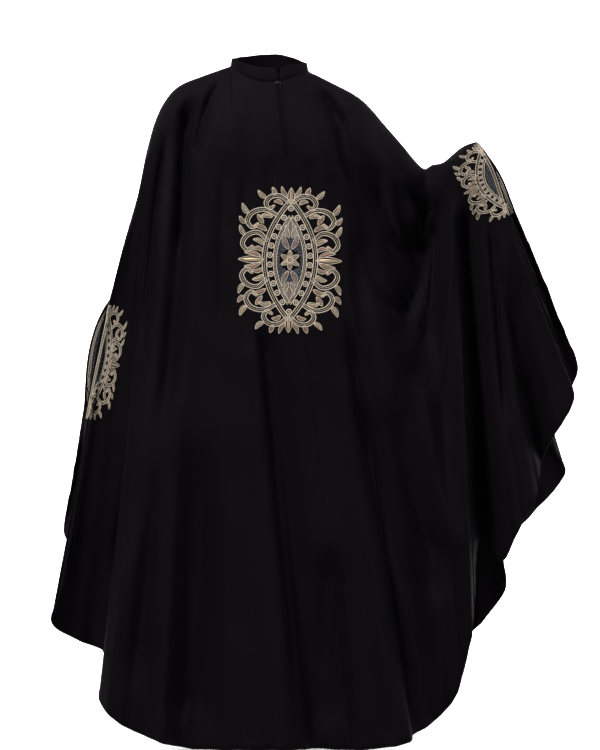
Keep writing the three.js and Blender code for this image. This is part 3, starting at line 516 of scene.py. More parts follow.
class Panel:
    """One wide cloth panel as a grid of outer points: columns follow its fall lines down to the hem."""

    def __init__(self, side, lines, creases, fine_creases):
        self.side = side
        self.lines = lines
        edge = TopEdge(side)
        reaches = np.array([edge.reach_at_x(row["top"]) for row in lines])
        hem_rows = rows_to_points(lines, ("hem_x", "hem_y", "hem_z"))
        self.stops = self.column_stops(hem_rows)
        reach = np.interp(self.stops, np.arange(len(lines)), reaches)
        top = edge.at(reach) + edge.parting(reach) * side * SEAM_GAP / 2
        low = along_curve(hem_rows, self.stops)
        skirt = along_curve(self.flare_rows(hem_rows), self.stops)[:, 1]
        down = (np.arange(ROWS + 1) / ROWS) ** ROW_CROWDING
        self.points = self.drape(top, low, skirt, down)
        x, z = self.points[:, :, 0], self.points[:, :, 2]
        hold = smoothstep(down, 0, EDGE_HOLD)[None, :]
        push = sum(crease_push(crease, x, z) for crease in creases)
        for crease in fine_creases:
            push += FINE_CREASE["gain"] * crease_push(crease, x, z, FINE_CREASE["sharpness"])
        self.points[:, :, 1] -= side * hold * (push + ripples(x, z))
        self.points[:, :, 1] += self.hem_ripple(low, down)
        self.points *= MM
        self.normals = self.outward()

    def column_stops(self, hem_rows):
        """Where the columns stand, counted in fall lines"""
        stops = [0.0]
        for number in range(len(self.lines) - 1):
            length = np.linalg.norm(hem_rows[number + 1] - hem_rows[number])
            count = max(1, round(length / HEM_STEP))
            stops.extend(number + (k + 1) / count for k in range(count))
        return np.array(stops)

    def flare_rows(self, hem_rows):
        """The skirt's own flare: the hem depth with its folds smoothed away"""
        rows = []
        for number in range(len(hem_rows)):
            near = hem_rows[max(0, number - FLARE_SPREAD): number + FLARE_SPREAD + 1, 1]
            rows.append((number, near.mean()))
        return rows

    def drape(self, top, low, skirt, down):
        """Columns that round off over the chest or the arm and then fall straight to the hem"""
        outward = smoothstep(np.abs(top[:, 0]), *SHOULDER_REACH)
        depth = mix(self.side * CHEST_DEPTH[self.side], top[:, 1] + self.side * ARM_RADIUS, outward)
        drop = mix(CHEST_DROP, ARM_DROP, outward)
        roll = smoothstep(np.abs(top[:, 0]), *ROLL_REACH)[:, None]
        round_share = np.minimum(MOST_ROUND, drop / (top[:, 2] - low[:, 2]))[:, None]
        points = top[:, None, :] + (low - top)[:, None, :] * down[None, :, None]
        points[:, :, 0] += self.cuff_swell(down)
        over = np.clip(down[None, :] / round_share, 0, 1)
        slope = np.sin(over * math.pi / 2)
        round_off = np.sqrt(1 - (1 - over) ** 2)
        upper = mix(top[:, 1, None], depth[:, None], mix(slope, round_off, roll))
        fall = np.clip((down[None, :] - round_share) / (1 - round_share), 0, 1)
        lower = mix(depth[:, None], skirt[:, None], fall ** SKIRT_SWING)
        lower += (low[:, 1] - skirt)[:, None] * fall ** FOLD_SWING
        points[:, :, 1] = np.where(down[None, :] < round_share, upper, lower)
        return points

    def cuff_swell(self, down):
        """How far the cuff edges swell outwards past the straight line from wrist to hem"""
        last = len(self.lines) - 1
        low = np.clip(1 - self.stops / CUFF_SWELL_REACH, 0, 1) ** 2
        raised = np.clip(1 - (last - self.stops) / CUFF_SWELL_REACH, 0, 1) ** 2
        swell = CUFF_SWELL[self.side]["low"] * low + CUFF_SWELL[self.side]["raised"] * raised
        return swell[:, None] * np.sin(math.pi * down ** CUFF_SWELL_LEAN)[None, :]

    def hem_ripple(self, low, down):
        """Small waves that grow towards the hem"""
        run = reach_along(low)
        wave = smoothstep(run, 0, HEM_RIPPLE_END) * smoothstep(run[-1] - run, 0, HEM_RIPPLE_END)
        turns = [2 * math.pi * run / row["length"] + row["wander"] * np.sin(run / row["wander_length"])
                 for row in HEM_RIPPLES]
        wave = wave * sum(row["height"] * np.sin(turn) for row, turn in zip(HEM_RIPPLES, turns))
        return wave[:, None] * down[None, :] ** HEM_RIPPLE_RISE

    def outward(self):
        """The cloth's outward directions at its points"""
        across = np.gradient(self.points, axis=0)
        below = np.gradient(self.points, axis=1)
        return unit(np.cross(across, below) * self.side)

    def slit(self):
        """The columns on the two sides of the neck slit, each with its rows above the slit's foot"""
        found = []
        for number, row in enumerate(self.lines):
            if row["line"] == "slit side":
                column = int(np.argmin(np.abs(self.stops - number)))
                heights = self.points[column, :, 2]
                found.append((column, np.flatnonzero(heights[0] - heights < SLIT["length"] * MM)))
        return found

    def faces(self):
        columns, rows = self.points.shape[:2]
        open_cells = {(column, row - 1) for column, deep in self.slit()[:1] for row in deep}
        faces = []
        for i in range(columns - 1):
            for j in range(rows - 1):
                if (i, j) in open_cells:
                    continue
                a, b = i * rows + j, (i + 1) * rows + j
                faces.append((a, a + 1, b + 1, b) if self.side == FRONT else (a, b, b + 1, a + 1))
        return faces

    def slit_edges(self):
        """The two edges of the neck slit, from the neck down"""
        return [self.points[column, deep] for column, deep in self.slit()]


# Mesh makers


def new_mesh_object(name, points, faces, materials, finishes=None):
    mesh = bpy.data.meshes.new(name)
    mesh.from_pydata([tuple(point) for point in points], [], faces)
    for material in materials:
        mesh.materials.append(material)
    if finishes is not None:
        mesh.polygons.foreach_set("material_index", finishes)
    mesh.polygons.foreach_set("use_smooth", [True] * len(mesh.polygons))
    mesh.update()
    made = bpy.data.objects.new(name, mesh)
    bpy.context.collection.objects.link(made)
    return made


def wear(made, slot, *nodes):
    """Hangs a finished piece on the garment's body and hides the solids it stands for."""
    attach(made, BODY)
    if nodes:
        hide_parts(*nodes)
    return made


def grid_faces(rows, columns, closed=True, ends=False):
    """Faces between neighbours in rows of points, round each row where closed, with caps where ends"""
    faces = []
    for row in range(rows - 1):
        here, there = row * columns, (row + 1) * columns
        for k in range(columns if closed else columns - 1):
            on = (k + 1) % columns
            faces.append((here + k, here + on, there + on, there + k))
    if ends:
        faces.append(tuple(reversed(range(columns))))
        faces.append(tuple((rows - 1) * columns + k for k in range(columns)))
    return faces


def tube(path, radius, flatness=1.0, up=(0, 0, 1), sides=8):
    """Points and faces of a closed tube along a path, pressed flat along the up direction"""
    path = np.asarray(path, float)
    run = unit(np.gradient(path, axis=0))
    side = unit(np.cross(run, np.broadcast_to(np.asarray(up, float), run.shape)))
    top = np.cross(side, run)
    turns = 2 * math.pi * np.arange(sides) / sides
    ring = np.cos(turns)[None, :, None] * side[:, None, :]
    ring = ring + flatness * np.sin(turns)[None, :, None] * top[:, None, :]
    points = (path[:, None, :] + radius * ring).reshape(-1, 3)
    return points, grid_faces(len(path), sides, ends=True)


def joined(parts):
    """Several sets of points and faces as one"""
    points = []
    faces = []
    for part_points, part_faces in parts:
        shift = len(points)
        points.extend(part_points)
        faces.extend(tuple(corner + shift for corner in face) for face in part_faces)
    return points, faces


# Materials


class Nodes:
    """A short way to lay out a material's nodes"""

    def __init__(self, name):
        self.material = bpy.data.materials.new(name)
        self.material.use_nodes = True
        self.tree = self.material.node_tree
        self.shader = self.tree.nodes["Principled BSDF"]
        self.place = self.add("ShaderNodeTexCoord").outputs["Object"]

    def add(self, kind, **settings):
        """A node with its settings and the values of its inputs, whose names have _ for a space"""
        node = self.tree.nodes.new(kind)
        for key, value in settings.items():
            socket = node.inputs.get(key.replace("_", " "))
            if socket:
                socket.default_value = value
            else:
                setattr(node, key, value)
        return node

    def link(self, source, target):
        self.tree.links.new(source, target)

    def pattern(self, kind, **settings):
        node = self.add(kind, **settings)
        self.link(self.place, node.inputs["Vector"])
        return node.outputs["Fac"]

    def noise(self, scale, detail=3.0):
        return self.pattern("ShaderNodeTexNoise", Scale=scale, Detail=detail, Roughness=0.55)

    def bands(self, scale, direction, distortion=1.5):
        return self.pattern("ShaderNodeTexWave", bands_direction=direction, Scale=scale,
                            Distortion=distortion, Detail_Scale=2.0)

    def spread(self, factor, low, high):
        node = self.add("ShaderNodeMapRange", To_Min=low, To_Max=high)
        self.link(factor, node.inputs["Value"])
        return node.outputs["Result"]

    def tint(self, pattern, colour, tones):
        """The base colour: places along a pattern's range, each with a factor on the colour"""
        node = self.add("ShaderNodeValToRGB")
        ramp = node.color_ramp
        while len(ramp.elements) < len(tones):
            ramp.elements.new(0.5)
        for element, (place, factor) in zip(ramp.elements, tones):
            element.position = place
            element.color = (*np.multiply(colour[:3], factor), 1.0)
        self.link(pattern, node.inputs["Fac"])
        self.link(node.outputs["Color"], self.shader.inputs["Base Color"])

    def roughen(self, grain, smoothest, roughest):
        """A roughness that a noise of the given scale varies"""
        self.link(self.spread(self.noise(grain), smoothest, roughest), self.shader.inputs["Roughness"])

    def sum(self, first, second):
        node = self.add("ShaderNodeMath", operation="ADD")
        self.link(first, node.inputs[0])
        self.link(second, node.inputs[1])
        return node.outputs["Value"]

    def bump(self, height, strength, distance):
        node = self.add("ShaderNodeBump", Strength=strength, Distance=distance)
        self.link(height, node.inputs["Height"])
        self.link(node.outputs["Normal"], self.shader.inputs["Normal"])

    def finish(self, **sockets):
        for name, value in sockets.items():
            self.shader.inputs[name.replace("_", " ")].default_value = value
        return self.material


def crepe_material(settings):
    """Light black crepe: a crinkled plain weave with a faint violet sheen"""
    nodes = Nodes("black_crepe")
    tone = nodes.sum(nodes.noise(5.0, 2.0), nodes.spread(nodes.noise(420.0), -0.12, 0.12))
    nodes.tint(tone, settings.cloth_colour, ((0.3, 0.8), (0.55, 1.0), (0.75, CREPE_WARMTH)))
    nodes.roughen(60.0, 0.62, 0.78)
    weave = 1.0 / (settings.weave_size * YARNS_PER_WAVE)
    yarns = nodes.sum(nodes.bands(weave, "X"), nodes.bands(weave, "Z"))
    crinkle = nodes.sum(yarns, nodes.spread(nodes.noise(700.0, 4.0), 0.0, 2.2))
    nodes.bump(crinkle, 0.35, 0.00025)
    return nodes.finish(Sheen_Weight=0.003, Sheen_Roughness=0.5, Sheen_Tint=(0.86, 0.8, 0.9, 1.0),
                        Specular_IOR_Level=0.018)


def thread_material(name, colour, roughness, metallic, spread):
    """Embroidery thread: fine twisted plies with small changes of tone"""
    nodes = Nodes(name)
    tone = nodes.sum(nodes.noise(240.0, 2.0), nodes.spread(nodes.noise(36.0), -0.15, 0.15))
    nodes.tint(tone, colour, ((0.25, 1 - spread), (0.55, 1.0), (0.8, 1 + spread / 2)))
    nodes.roughen(300.0, roughness - 0.08, roughness + 0.1)
    plies = nodes.sum(nodes.bands(150.0, "DIAGONAL", 0.8), nodes.noise(900.0))
    nodes.bump(plies, 0.4, 0.0003)
    return nodes.finish(Metallic=metallic, Sheen_Weight=0.15)


def metal_material(settings):
    """Dull wire with small scratches"""
    nodes = Nodes("hook_wire")
    nodes.tint(nodes.noise(500.0), settings.wire_colour, ((0.3, 0.8), (0.7, 1.1)))
    nodes.roughen(900.0, 0.4, 0.55)
    nodes.bump(nodes.noise(1500.0), 0.1, 0.0001)
    return nodes.finish(Metallic=0.9)


def floor_material(settings):
    """A matt pale studio floor that runs up into its backdrop"""
    nodes = Nodes("studio_floor")
    nodes.tint(nodes.noise(1.5), settings.floor_colour, ((0.35, 0.985), (0.65, 1.0)))
    nodes.bump(nodes.noise(60.0), 0.03, 0.001)
    white = (1.0, 1.0, 1.0, 1.0)
    return nodes.finish(Roughness=0.9, Emission_Color=white, Emission_Strength=settings.floor_glow)


MADE = {}


def made_once(name, maker, *args):
    if name not in MADE:
        MADE[name] = maker(*args)
    return MADE[name]


def crepe_piece(context, name, points, faces, *nodes):
    """A finished piece of the garment's own cloth"""
    crepe = made_once("crepe", crepe_material, context.scene.abaya_cloth)
    return wear(new_mesh_object(name, points, faces, [crepe]), "crepe", *nodes)


def panel_of(side):
    front = (FRONT_LINES, FRONT_CREASES, FRONT_FINE_CREASES)
    back = (BACK_LINES, BACK_CREASES, BACK_FINE_CREASES)
    return made_once(f"panel {side}", Panel, side, *(front if side == FRONT else back))


# Needlework laid on the cloth


class Cloth:
    """Finds the outermost cloth of a panel at a place in the front view, on its outer or its inner face"""

    def __init__(self, panel, wall=0.0):
        self.side = panel.side
        self.wall = wall
        points = [Vector(point) for point in panel.points.reshape(-1, 3)]
        self.tree = BVHTree.FromPolygons(points, panel.faces())

    def at(self, x, z):
        start = Vector((x * MM, self.side, z * MM))
        place, normal = self.tree.ray_cast(start, Vector((0, -self.side, 0)))[:2]
        if place is None:
            return None
        place, normal = np.array(place), np.array(normal)
        if normal[1] * self.side < 0:
            normal = -normal
        return (place - normal * self.wall, -normal) if self.wall else (place, normal)


class Needlework:
    """Stitched shapes of one motif. Flat places are in the motif's own frame, in millimetres."""

    def __init__(self, cloth, motif):
        self.cloth = cloth
        self.motif = motif
        self.fineness = motif["scale"] * math.sqrt(min(1.0, motif["across"]))
        self.points = []
        self.faces = []
        self.finishes = []

    def on_cloth(self, a, b):
        motif = self.motif
        across, tilt, scale = motif["across"], motif["tilt"], motif["scale"]
        x = motif["x"] + scale * (a * across * math.cos(tilt) + b * math.sin(tilt))
        z = motif["z"] + scale * (b * math.cos(tilt) - a * across * math.sin(tilt))
        return self.cloth.at(x, z)

    def in_motif(self, points):
        """Flat places, in the motif's own frame, of points on the cloth"""
        motif = self.motif
        across, tilt = motif["across"], motif["tilt"]
        x = (points[:, 0] / MM - motif["x"]) / motif["scale"]
        z = (points[:, 2] / MM - motif["z"]) / motif["scale"]
        a = (x * math.cos(tilt) - z * math.sin(tilt)) / across
        b = x * math.sin(tilt) + z * math.cos(tilt)
        return np.stack([a, b], axis=-1)

    def add(self, points, faces, finish):
        shift = len(self.points)
        self.points.extend(points)
        self.faces.extend(tuple(corner + shift for corner in face) for face in faces)
        self.finishes.extend([THREADS.index(finish)] * len(faces))

    def ridge(self, places, widths, height, finish, corners=5):
        """A raised band with a round back along flat places"""
        hits = [self.on_cloth(a, b) for a, b in places]
        if any(hit is None for hit in hits):
            return
        centre = np.array([hit[0] for hit in hits])
        normal = np.array([hit[1] for hit in hits])
        run = unit(np.gradient(centre, axis=0))
        side = unit(np.cross(run, normal))
        turns = np.linspace(0, math.pi, corners)
        half = np.asarray(widths, float)[:, None, None] * self.fineness * MM / 2
        ring = half * np.cos(turns)[None, :, None] * side[:, None, :]
        rise = (STITCH["lift"] + height * np.sin(turns)) * MM
        points = centre[:, None, :] + ring + rise[None, :, None] * normal[:, None, :]
        faces = [tuple(reversed(face)) for face in grid_faces(len(hits), corners, ends=True)]
        self.add(points.reshape(-1, 3), faces, finish)

    def bead(self, a, b, radius, finish, corners=6):
        hit = self.on_cloth(a, b)
        if hit is None:
            return
        centre, normal = hit
        side = unit(np.cross(normal, (0.0, 0.0, 1.0)))
        up = np.cross(side, normal)
        turns = 2 * math.pi * np.arange(corners) / corners
        around = np.cos(turns)[:, None] * side + np.sin(turns)[:, None] * up
        base = centre + normal * STITCH["lift"] * MM / 2
        size = radius * MM * math.sqrt(self.fineness)
        low = base + around * size
        high = base + around * size * BEAD_FORM["shoulder"] + normal * size * BEAD_FORM["shoulder_height"]
        top = base + normal * size * BEAD_FORM["height"]
        points = [*low, *high, top]
        faces = []
        for k in range(corners):
            on = (k + 1) % corners
            faces.append((k, k + corners, on + corners, on))
            faces.append((k + corners, 2 * corners, on + corners))
        faces.append(tuple(range(corners)))
        self.add(points, faces, finish)

    def cord(self, places, finish="cream", width=None):
        width = (width or STITCH["cord"]) / math.sqrt(self.fineness)
        self.ridge(places, [width] * len(places), STITCH["cord_height"], finish)

    def double_cord(self, places, widths):
        """Two cords with a row of beads between them"""
        half = flat_sides(places) * np.asarray(widths, float)[:, None] / 2
        self.cord(places + half)
        self.cord(places - half)
        reach = reach_along(places)
        for at in np.arange(BEADS["band_step"] / 2, reach[-1], BEADS["band_step"] / self.motif["scale"]):
            if np.interp(at, reach, widths) > BEADS["least_band"]:
                self.bead(*(np.interp(at, reach, places[:, k]) for k in range(2)), BEADS["band"], "cream")

    def leaf(self, places, width, finish):
        """A satin stitch leaf with a dark vein, set apart from the cords along both its sides"""
        share = np.linspace(0, 1, len(places))
        widths = width * np.sin(math.pi * share ** LEAF["round"]) ** LEAF["round"] + LEAF["tip"]
        self.ridge(places, widths * LEAF["fill"], LEAF["height"], finish)
        for edge in (-1, 1):
            self.cord(places + edge * flat_sides(places) * widths[:, None] / 2, "cream", LEAF["cord"])
        self.cord(places[1:-1], "ink", LEAF["vein"])

    def rosette(self, a, b):
        """A stud: a pale ring round a bright bead"""
        turns = np.linspace(0, 2 * math.pi, ROSETTE["steps"] + 1)
        ring = np.array([a, b]) + ROSETTE["radius"] * np.stack([np.cos(turns), np.sin(turns)], axis=-1)
        self.ridge(ring, [ROSETTE["ring"]] * len(ring), ROSETTE["rise"], "cream")
        self.bead(a, b, BEADS["centre"], "cream", 8)

    def made(self, name, context, *nodes):
        if not self.points:
            raise RuntimeError(f"{name} doesn't meet the cloth anywhere")
        materials = [thread(context, finish) for finish in THREADS]
        piece = new_mesh_object(name, self.points, self.faces, materials, self.finishes)
        return wear(piece, "embroidery_thread", *nodes)


def thread(context, finish):
    settings = context.scene.abaya_embroidery
    looks = {
        "cream": (settings.cream_colour, 0.5, 0.0, 0.2),
        "gold": (settings.gold_colour, 0.38, 0.35, 0.3),
        "copper": (settings.copper_colour, 0.42, 0.25, 0.35),
        "blue": (settings.blue_colour, 0.28, 0.1, 0.6),
        "ink": (settings.ink_colour, 0.55, 0.0, 0.3),
    }
    return made_once(f"{finish}_thread", thread_material, f"{finish}_thread", *looks[finish])


def mirrored(places, mirror, half):
    """The copies of a stroke that its mirror letters ask for"""
    signs_a = (1, -1) if "a" in mirror and not half else (1,)
    signs_b = (1, -1) if "b" in mirror else (1,)
    return [np.asarray(places) * (a, b) for a in signs_a for b in signs_b]


def flat_sides(places):
    """Unit steps square to a flat path"""
    run = unit(np.gradient(places, axis=0))
    return np.stack([-run[:, 1], run[:, 0]], axis=-1)


def oval_places(oval, start, end):
    """Places along a pointed oval: two arcs that meet at the top and the bottom"""
    count = max(8, round(4 * oval["half_height"] * (end - start) / STITCH["step"]))
    share = np.linspace(start, end, count + 1)
    height = np.abs(4 * share - 2) - 1
    side = np.where(share <= 0.5, 1, -1)
    return np.stack([side * oval["half_width"] * (1 - height ** 2), oval["half_height"] * height], axis=-1)


def flat_curve(path):
    """A smooth flat path, in steps of about one stitch"""
    return curve_samples(path, max(6, round(reach_along(path)[-1] / STITCH["step"])))


def sew_ovals(work, half):
    ends = [(0.0, 0.5)] if half else [(0.0, 0.5), (0.5, 1.0)]
    for oval in (OUTER_OVAL, INNER_OVAL):
        for start, end in ends:
            places = oval_places(oval, start + OVAL_TIP_GAP, end - OVAL_TIP_GAP)
            work.double_cord(places, [oval["band"]] * len(places))
    count = round(4 * ROSETTE_OVAL["half_height"] / ROSETTE["spacing"])
    for k in range(count // 2 + 1 if half else count):
        work.rosette(*oval_places(ROSETTE_OVAL, k / count, k / count)[0])


def sew_strokes(work, half):
    for stroke in MOTIF_STROKES:
        places = flat_curve(stroke["path"])
        widths = np.interp(np.linspace(0, 1, len(places)), (0, 0.5, 1), STROKE_WIDTHS)
        for copy in mirrored(places, "ab", half):
            work.double_cord(copy, widths)
            work.bead(*copy[-1], BEADS["scroll_eye"], "gold", 8)
    for leaf in MOTIF_LEAVES:
        if half and ("field" in leaf["leaf"] or "inner" in leaf["leaf"]):
            continue
        for copy in mirrored(flat_curve(leaf["path"]), leaf["mirror"], half):
            work.leaf(copy, leaf["width"], leaf["finish"])


def cuff_edge(work, panel, is_low):
    """The cuff's free edge as flat places of the motif, in rising b"""
    edge = work.in_motif(panel.points[0 if is_low else -1])
    return edge[np.argsort(edge[:, 1])]


def field_bead(work, a, b, column, row):
    """One bead of a field, where some in every few are dark"""
    is_dark = (3 * column + 5 * row) % DARK_BEADS["of"] < DARK_BEADS["dark"]
    work.bead(a, b, BEADS["field"], "ink" if is_dark else "blue", 5)


def sew_cuff_edge(work, edge):
    """A double cord along the cuff's edge, and the bead field between it and the inner oval"""
    inset = CUFF_BAND["inset"] / (work.motif["scale"] * work.motif["across"])
    b = np.arange(edge[0, 1] + CUFF_BAND["end"], edge[-1, 1] - CUFF_BAND["end"], STITCH["step"])
    a = np.interp(b, edge[:, 1], edge[:, 0]) + inset
    work.double_cord(np.stack([a, b], axis=-1), [CUFF_BAND["width"]] * len(b))
    step = BEADS["field_step"] / math.sqrt(work.motif["scale"])
    reach_b = INNER_OVAL["half_height"]
    for j, height in enumerate(np.arange(-reach_b, reach_b, step * BEAD_ROW)):
        first = np.interp(height, edge[:, 1], edge[:, 0]) + inset + CUFF_BAND["width"]
        last = INNER_OVAL["half_width"] * (1 - (height / reach_b) ** 2) - INNER_OVAL["band"]
        for i, place in enumerate(np.arange(first + (j % 2) * step / 2, last, step / work.motif["across"])):
            field_bead(work, place, height, i, j)


def sew_field(work):
    """The bead field inside the inner oval, with a six-petal flower at its middle"""
    step = BEADS["field_step"]
    margin = INNER_OVAL["band"] / 2 + STITCH["cord"]
    rows = int(INNER_OVAL["half_height"] / (step * BEAD_ROW))
    columns = math.ceil(INNER_OVAL["half_width"] / step)
    for j in range(-rows, rows + 1):
        b = j * step * BEAD_ROW
        reach = INNER_OVAL["half_width"] * (1 - (b / INNER_OVAL["half_height"]) ** 2) - margin
        for i in range(-columns, columns + 1):
            a = i * step + (j % 2) * step / 2
            if abs(a) > reach or math.hypot(a, b) < PETALS["start"] + PETALS["length"]:
                continue
            field_bead(work, a, b, i, j)
    for k in range(PETALS["count"]):
        turn = math.pi / 2 + 2 * math.pi * k / PETALS["count"]
        reaches = np.linspace(PETALS["start"], PETALS["start"] + PETALS["length"], PETALS["steps"] + 1)
        places = np.stack([reaches * math.cos(turn), reaches * math.sin(turn)], axis=-1)
        work.leaf(places, PETALS["width"], "copper" if k % 2 else "gold")
    work.rosette(0, 0)


# What a user can change


def colour_setting(name, description, default):
    return bpy.props.FloatVectorProperty(
        name=name, description=description, subtype="COLOR", size=3, min=0, max=1, default=default)


def length_setting(name, description, default, low=-10.0, high=10.0):
    return bpy.props.FloatProperty(
        name=name, description=description, unit="LENGTH", min=low, max=high, default=default)


class AbayaClothSettings(bpy.types.PropertyGroup):
    """Cloth, hems and collar"""

    cloth_colour: colour_setting("Cloth colour", "Colour of the crepe", (0.0022, 0.0016, 0.0023))
    cloth_thickness: length_setting("Cloth thickness", "Thickness of one layer", 0.0012, 0.0003, 0.003)
    weave_size: length_setting("Weave size", "Width of one yarn in the weave", 0.0006, 0.0003, 0.003)
    hem_width: length_setting("Hem width", "Width of the narrow rolled hem", 0.0034, 0.001, 0.01)
    stitch_length: length_setting("Stitch length", "Length of one stitch", 0.0034, 0.001, 0.01)
    wire_colour: colour_setting("Hook colour", "Colour of the collar's wire hook", (0.03, 0.028, 0.026))


class AbayaEmbroiderySettings(bpy.types.PropertyGroup):
    """Colours of the needlework"""

    cream_colour: colour_setting("Cream thread", "Colour of the cords and small beads", (0.34, 0.285, 0.215))
    gold_colour: colour_setting("Gold thread", "Colour of the pale gold leaves", (0.3, 0.22, 0.135))
    copper_colour: colour_setting("Copper thread", "Colour of the copper leaves", (0.2, 0.11, 0.065))
    blue_colour: colour_setting("Blue beads", "Colour of the blue-grey bead field", (0.05, 0.066, 0.1))
    ink_colour: colour_setting("Dark thread", "Colour of the dark veins and beads", (0.008, 0.007, 0.008))


class AbayaStageSettings(bpy.types.PropertyGroup):
    """Floor, lights and camera"""

    floor_level: length_setting("Floor level", "Height of the floor below the neck", -1.39)
    floor_colour: colour_setting("Floor colour", "Colour of the floor and backdrop", (0.92, 0.92, 0.92))
    floor_glow: bpy.props.FloatProperty(
        name="Floor glow", description="Light that the lit backdrop gives off", min=0, max=2, default=0.35)
    camera_distance: length_setting("Camera distance", "From the neck to the camera", 6.0)
    key_power: bpy.props.FloatProperty(
        name="Key light", description="Power of the large front light in watts", default=310.0)


# The pieces


class ABAYA_OT_stage(bpy.types.Operator):
    """Lay the floor and set the lights and the camera"""

    bl_idname = "abaya.stage"
    bl_label = "Stage and Camera"

    def execute(self, context):
        settings = context.scene.abaya_stage
        self.floor(settings)
        self.lights(context, settings)
        self.camera(context, settings)
        return {"FINISHED"}

    def floor(self, settings):
        level, bend, radius = settings.floor_level, FLOOR["bend"], FLOOR["radius"]
        profile = [(FLOOR["near"], level)]
        for turn in np.linspace(0, math.pi / 2, FLOOR["steps"] + 1):
            profile.append((bend + radius * math.sin(turn), level + radius * (1 - math.cos(turn))))
        profile.append((bend + radius, level + FLOOR["height"]))
        points = [(side * FLOOR["half_width"], y, z) for y, z in profile for side in (-1, 1)]
        faces = grid_faces(len(profile), 2, closed=False)
        new_mesh_object("studio_floor", points, faces, [floor_material(settings)])

    def lights(self, context, settings):
        for row in LIGHTS:
            light = bpy.data.lights.new(row["name"], "AREA")
            light.size = row["size"]
            light.energy = settings.key_power * row["power"]
            light.spread = math.radians(row["spread"])
            lamp = bpy.data.objects.new(row["name"], light)
            lamp.location = row["place"]
            lamp.rotation_euler = (Vector(row["aim"]) - lamp.location).to_track_quat("-Z", "Y").to_euler()
            context.collection.objects.link(lamp)
        world = bpy.data.worlds.new("studio_light")
        world.use_nodes = True
        sky = world.node_tree.nodes["Background"]
        sky.inputs["Color"].default_value = (1.0, 1.0, 1.0, 1.0)
        sky.inputs["Strength"].default_value = WORLD_LIGHT
        context.scene.world = world
        context.scene.view_settings.view_transform = "Standard"

    def camera(self, context, settings):
        data = bpy.data.cameras.new("studio_camera")
        camera = bpy.data.objects.new("studio_camera", data)
        data.sensor_fit = "VERTICAL"
        data.sensor_height = CAMERA_PLACE["sensor"]
        frame_height = IMAGE_SIZE[1] * MM_PER_PIXEL * MM
        distance = settings.camera_distance - CAMERA_PLACE["body_plane"]
        data.lens = data.sensor_height * distance / frame_height
        camera.location = (CAMERA_PLACE["x"], -settings.camera_distance, CAMERA_PLACE["z"])
        camera.rotation_euler = (math.pi / 2, 0.0, 0.0)
        context.collection.objects.link(camera)
        context.scene.camera = camera


def make_panel(context, side, name, node):
    panel = panel_of(side)
    made = crepe_piece(context, name, panel.points.reshape(-1, 3), panel.faces(), node)
    wall = made.modifiers.new("Cloth wall", "SOLIDIFY")
    wall.thickness = context.scene.abaya_cloth.cloth_thickness
    wall.offset = -1.0


class ABAYA_OT_panels(bpy.types.Operator):
    """Hang the front and the back panel with their folds"""

    bl_idname = "abaya.panels"
    bl_label = "Front and Back Panels"

    def execute(self, context):
        make_panel(context, FRONT, "front_cloth", "front_panel")
        make_panel(context, BACK, "back_cloth", "back_panel")
        return {"FINISHED"}


def free_edge(grid, inset=0):
    """A grid's values along the panel's free edge: down one cuff, along the hem and up the other cuff"""
    return np.vstack([grid[inset, 1:-1], grid[:, -1 - inset], grid[-1 - inset, -2:0:-1]])


def stitch_row(path, normals, length, sizes):
    """Short raised stitches with gaps between them along a path on the cloth"""
    lift, width = sizes["lift"] * MM, sizes["width"] * MM
    reach = reach_along(path)
    parts = []
    for start in np.arange(length, reach[-1] - length, length * STITCH_PITCH):
        ends = []
        for at in (start, start + length):
            place = np.array([np.interp(at, reach, path[:, k]) for k in range(3)])
            normal = unit(np.array([np.interp(at, reach, normals[:, k]) for k in range(3)]))
            ends.append(place + normal * lift)
        first, last = ends
        run = unit(last - first)
        side = unit(np.cross(run, normal)) * width
        middle = (first + last) / 2
        points = [first, middle + side, middle - side, last, middle + normal * width]
        faces = [(0, 1, 4), (1, 3, 4), (3, 2, 4), (2, 0, 4), (0, 2, 3, 1)]
        parts.append((points, faces))
    return parts


class ABAYA_OT_hems(bpy.types.Operator):
    """Roll the hems and sew the shoulder seams"""

    bl_idname = "abaya.hems"
    bl_label = "Hems and Shoulder Seams"

    def execute(self, context):
        for side, name in ((FRONT, "front"), (BACK, "back")):
            self.hem(context, panel_of(side), name)
        self.seams(context, panel_of(FRONT))
        return {"FINISHED"}

    def hem(self, context, panel, name):
        settings = context.scene.abaya_cloth
        path = free_edge(panel.points)
        inward = free_edge(panel.normals) * settings.cloth_thickness / 2
        roll = tube(path - inward, settings.hem_width / 2, HEM["flatness"], up=HEM["up"])
        inner = free_edge(panel.points, 1)
        reach = np.linalg.norm(inner - path, axis=1, keepdims=True)
        line = path + (inner - path) * (settings.hem_width * HEM["stitch_line"] / reach)
        row = stitch_row(line, free_edge(panel.normals, 1), settings.stitch_length, HEM_STITCH)
        return [crepe_piece(context, f"{name}_rolled_hem", *roll),
                crepe_piece(context, f"{name}_hem_stitches", *joined(row))]

    def seams(self, context, panel):
        """Two seam cords, out to the last fall lines that start on the arms"""
        tops = np.array([row["top"] for row in panel.lines])
        low_last = np.flatnonzero(tops <= LOW_ARM_LINE[-1]["x"])[-1]
        raised_first = np.flatnonzero(tops >= RAISED_ARM_LINE[0]["x"])[0]
        runs = {
            "low_shoulder_seam": panel.points[panel.stops <= low_last, 0],
            "raised_shoulder_seam": panel.points[panel.stops >= raised_first, 0],
        }
        radius, flatness = SHOULDER_SEAM["radius"] * MM, SHOULDER_SEAM["flatness"]
        for name, path in runs.items():
            shifted = path + np.array(SHOULDER_SEAM["shift"]) * MM
            crepe_piece(context, name, *tube(shifted, radius, flatness))


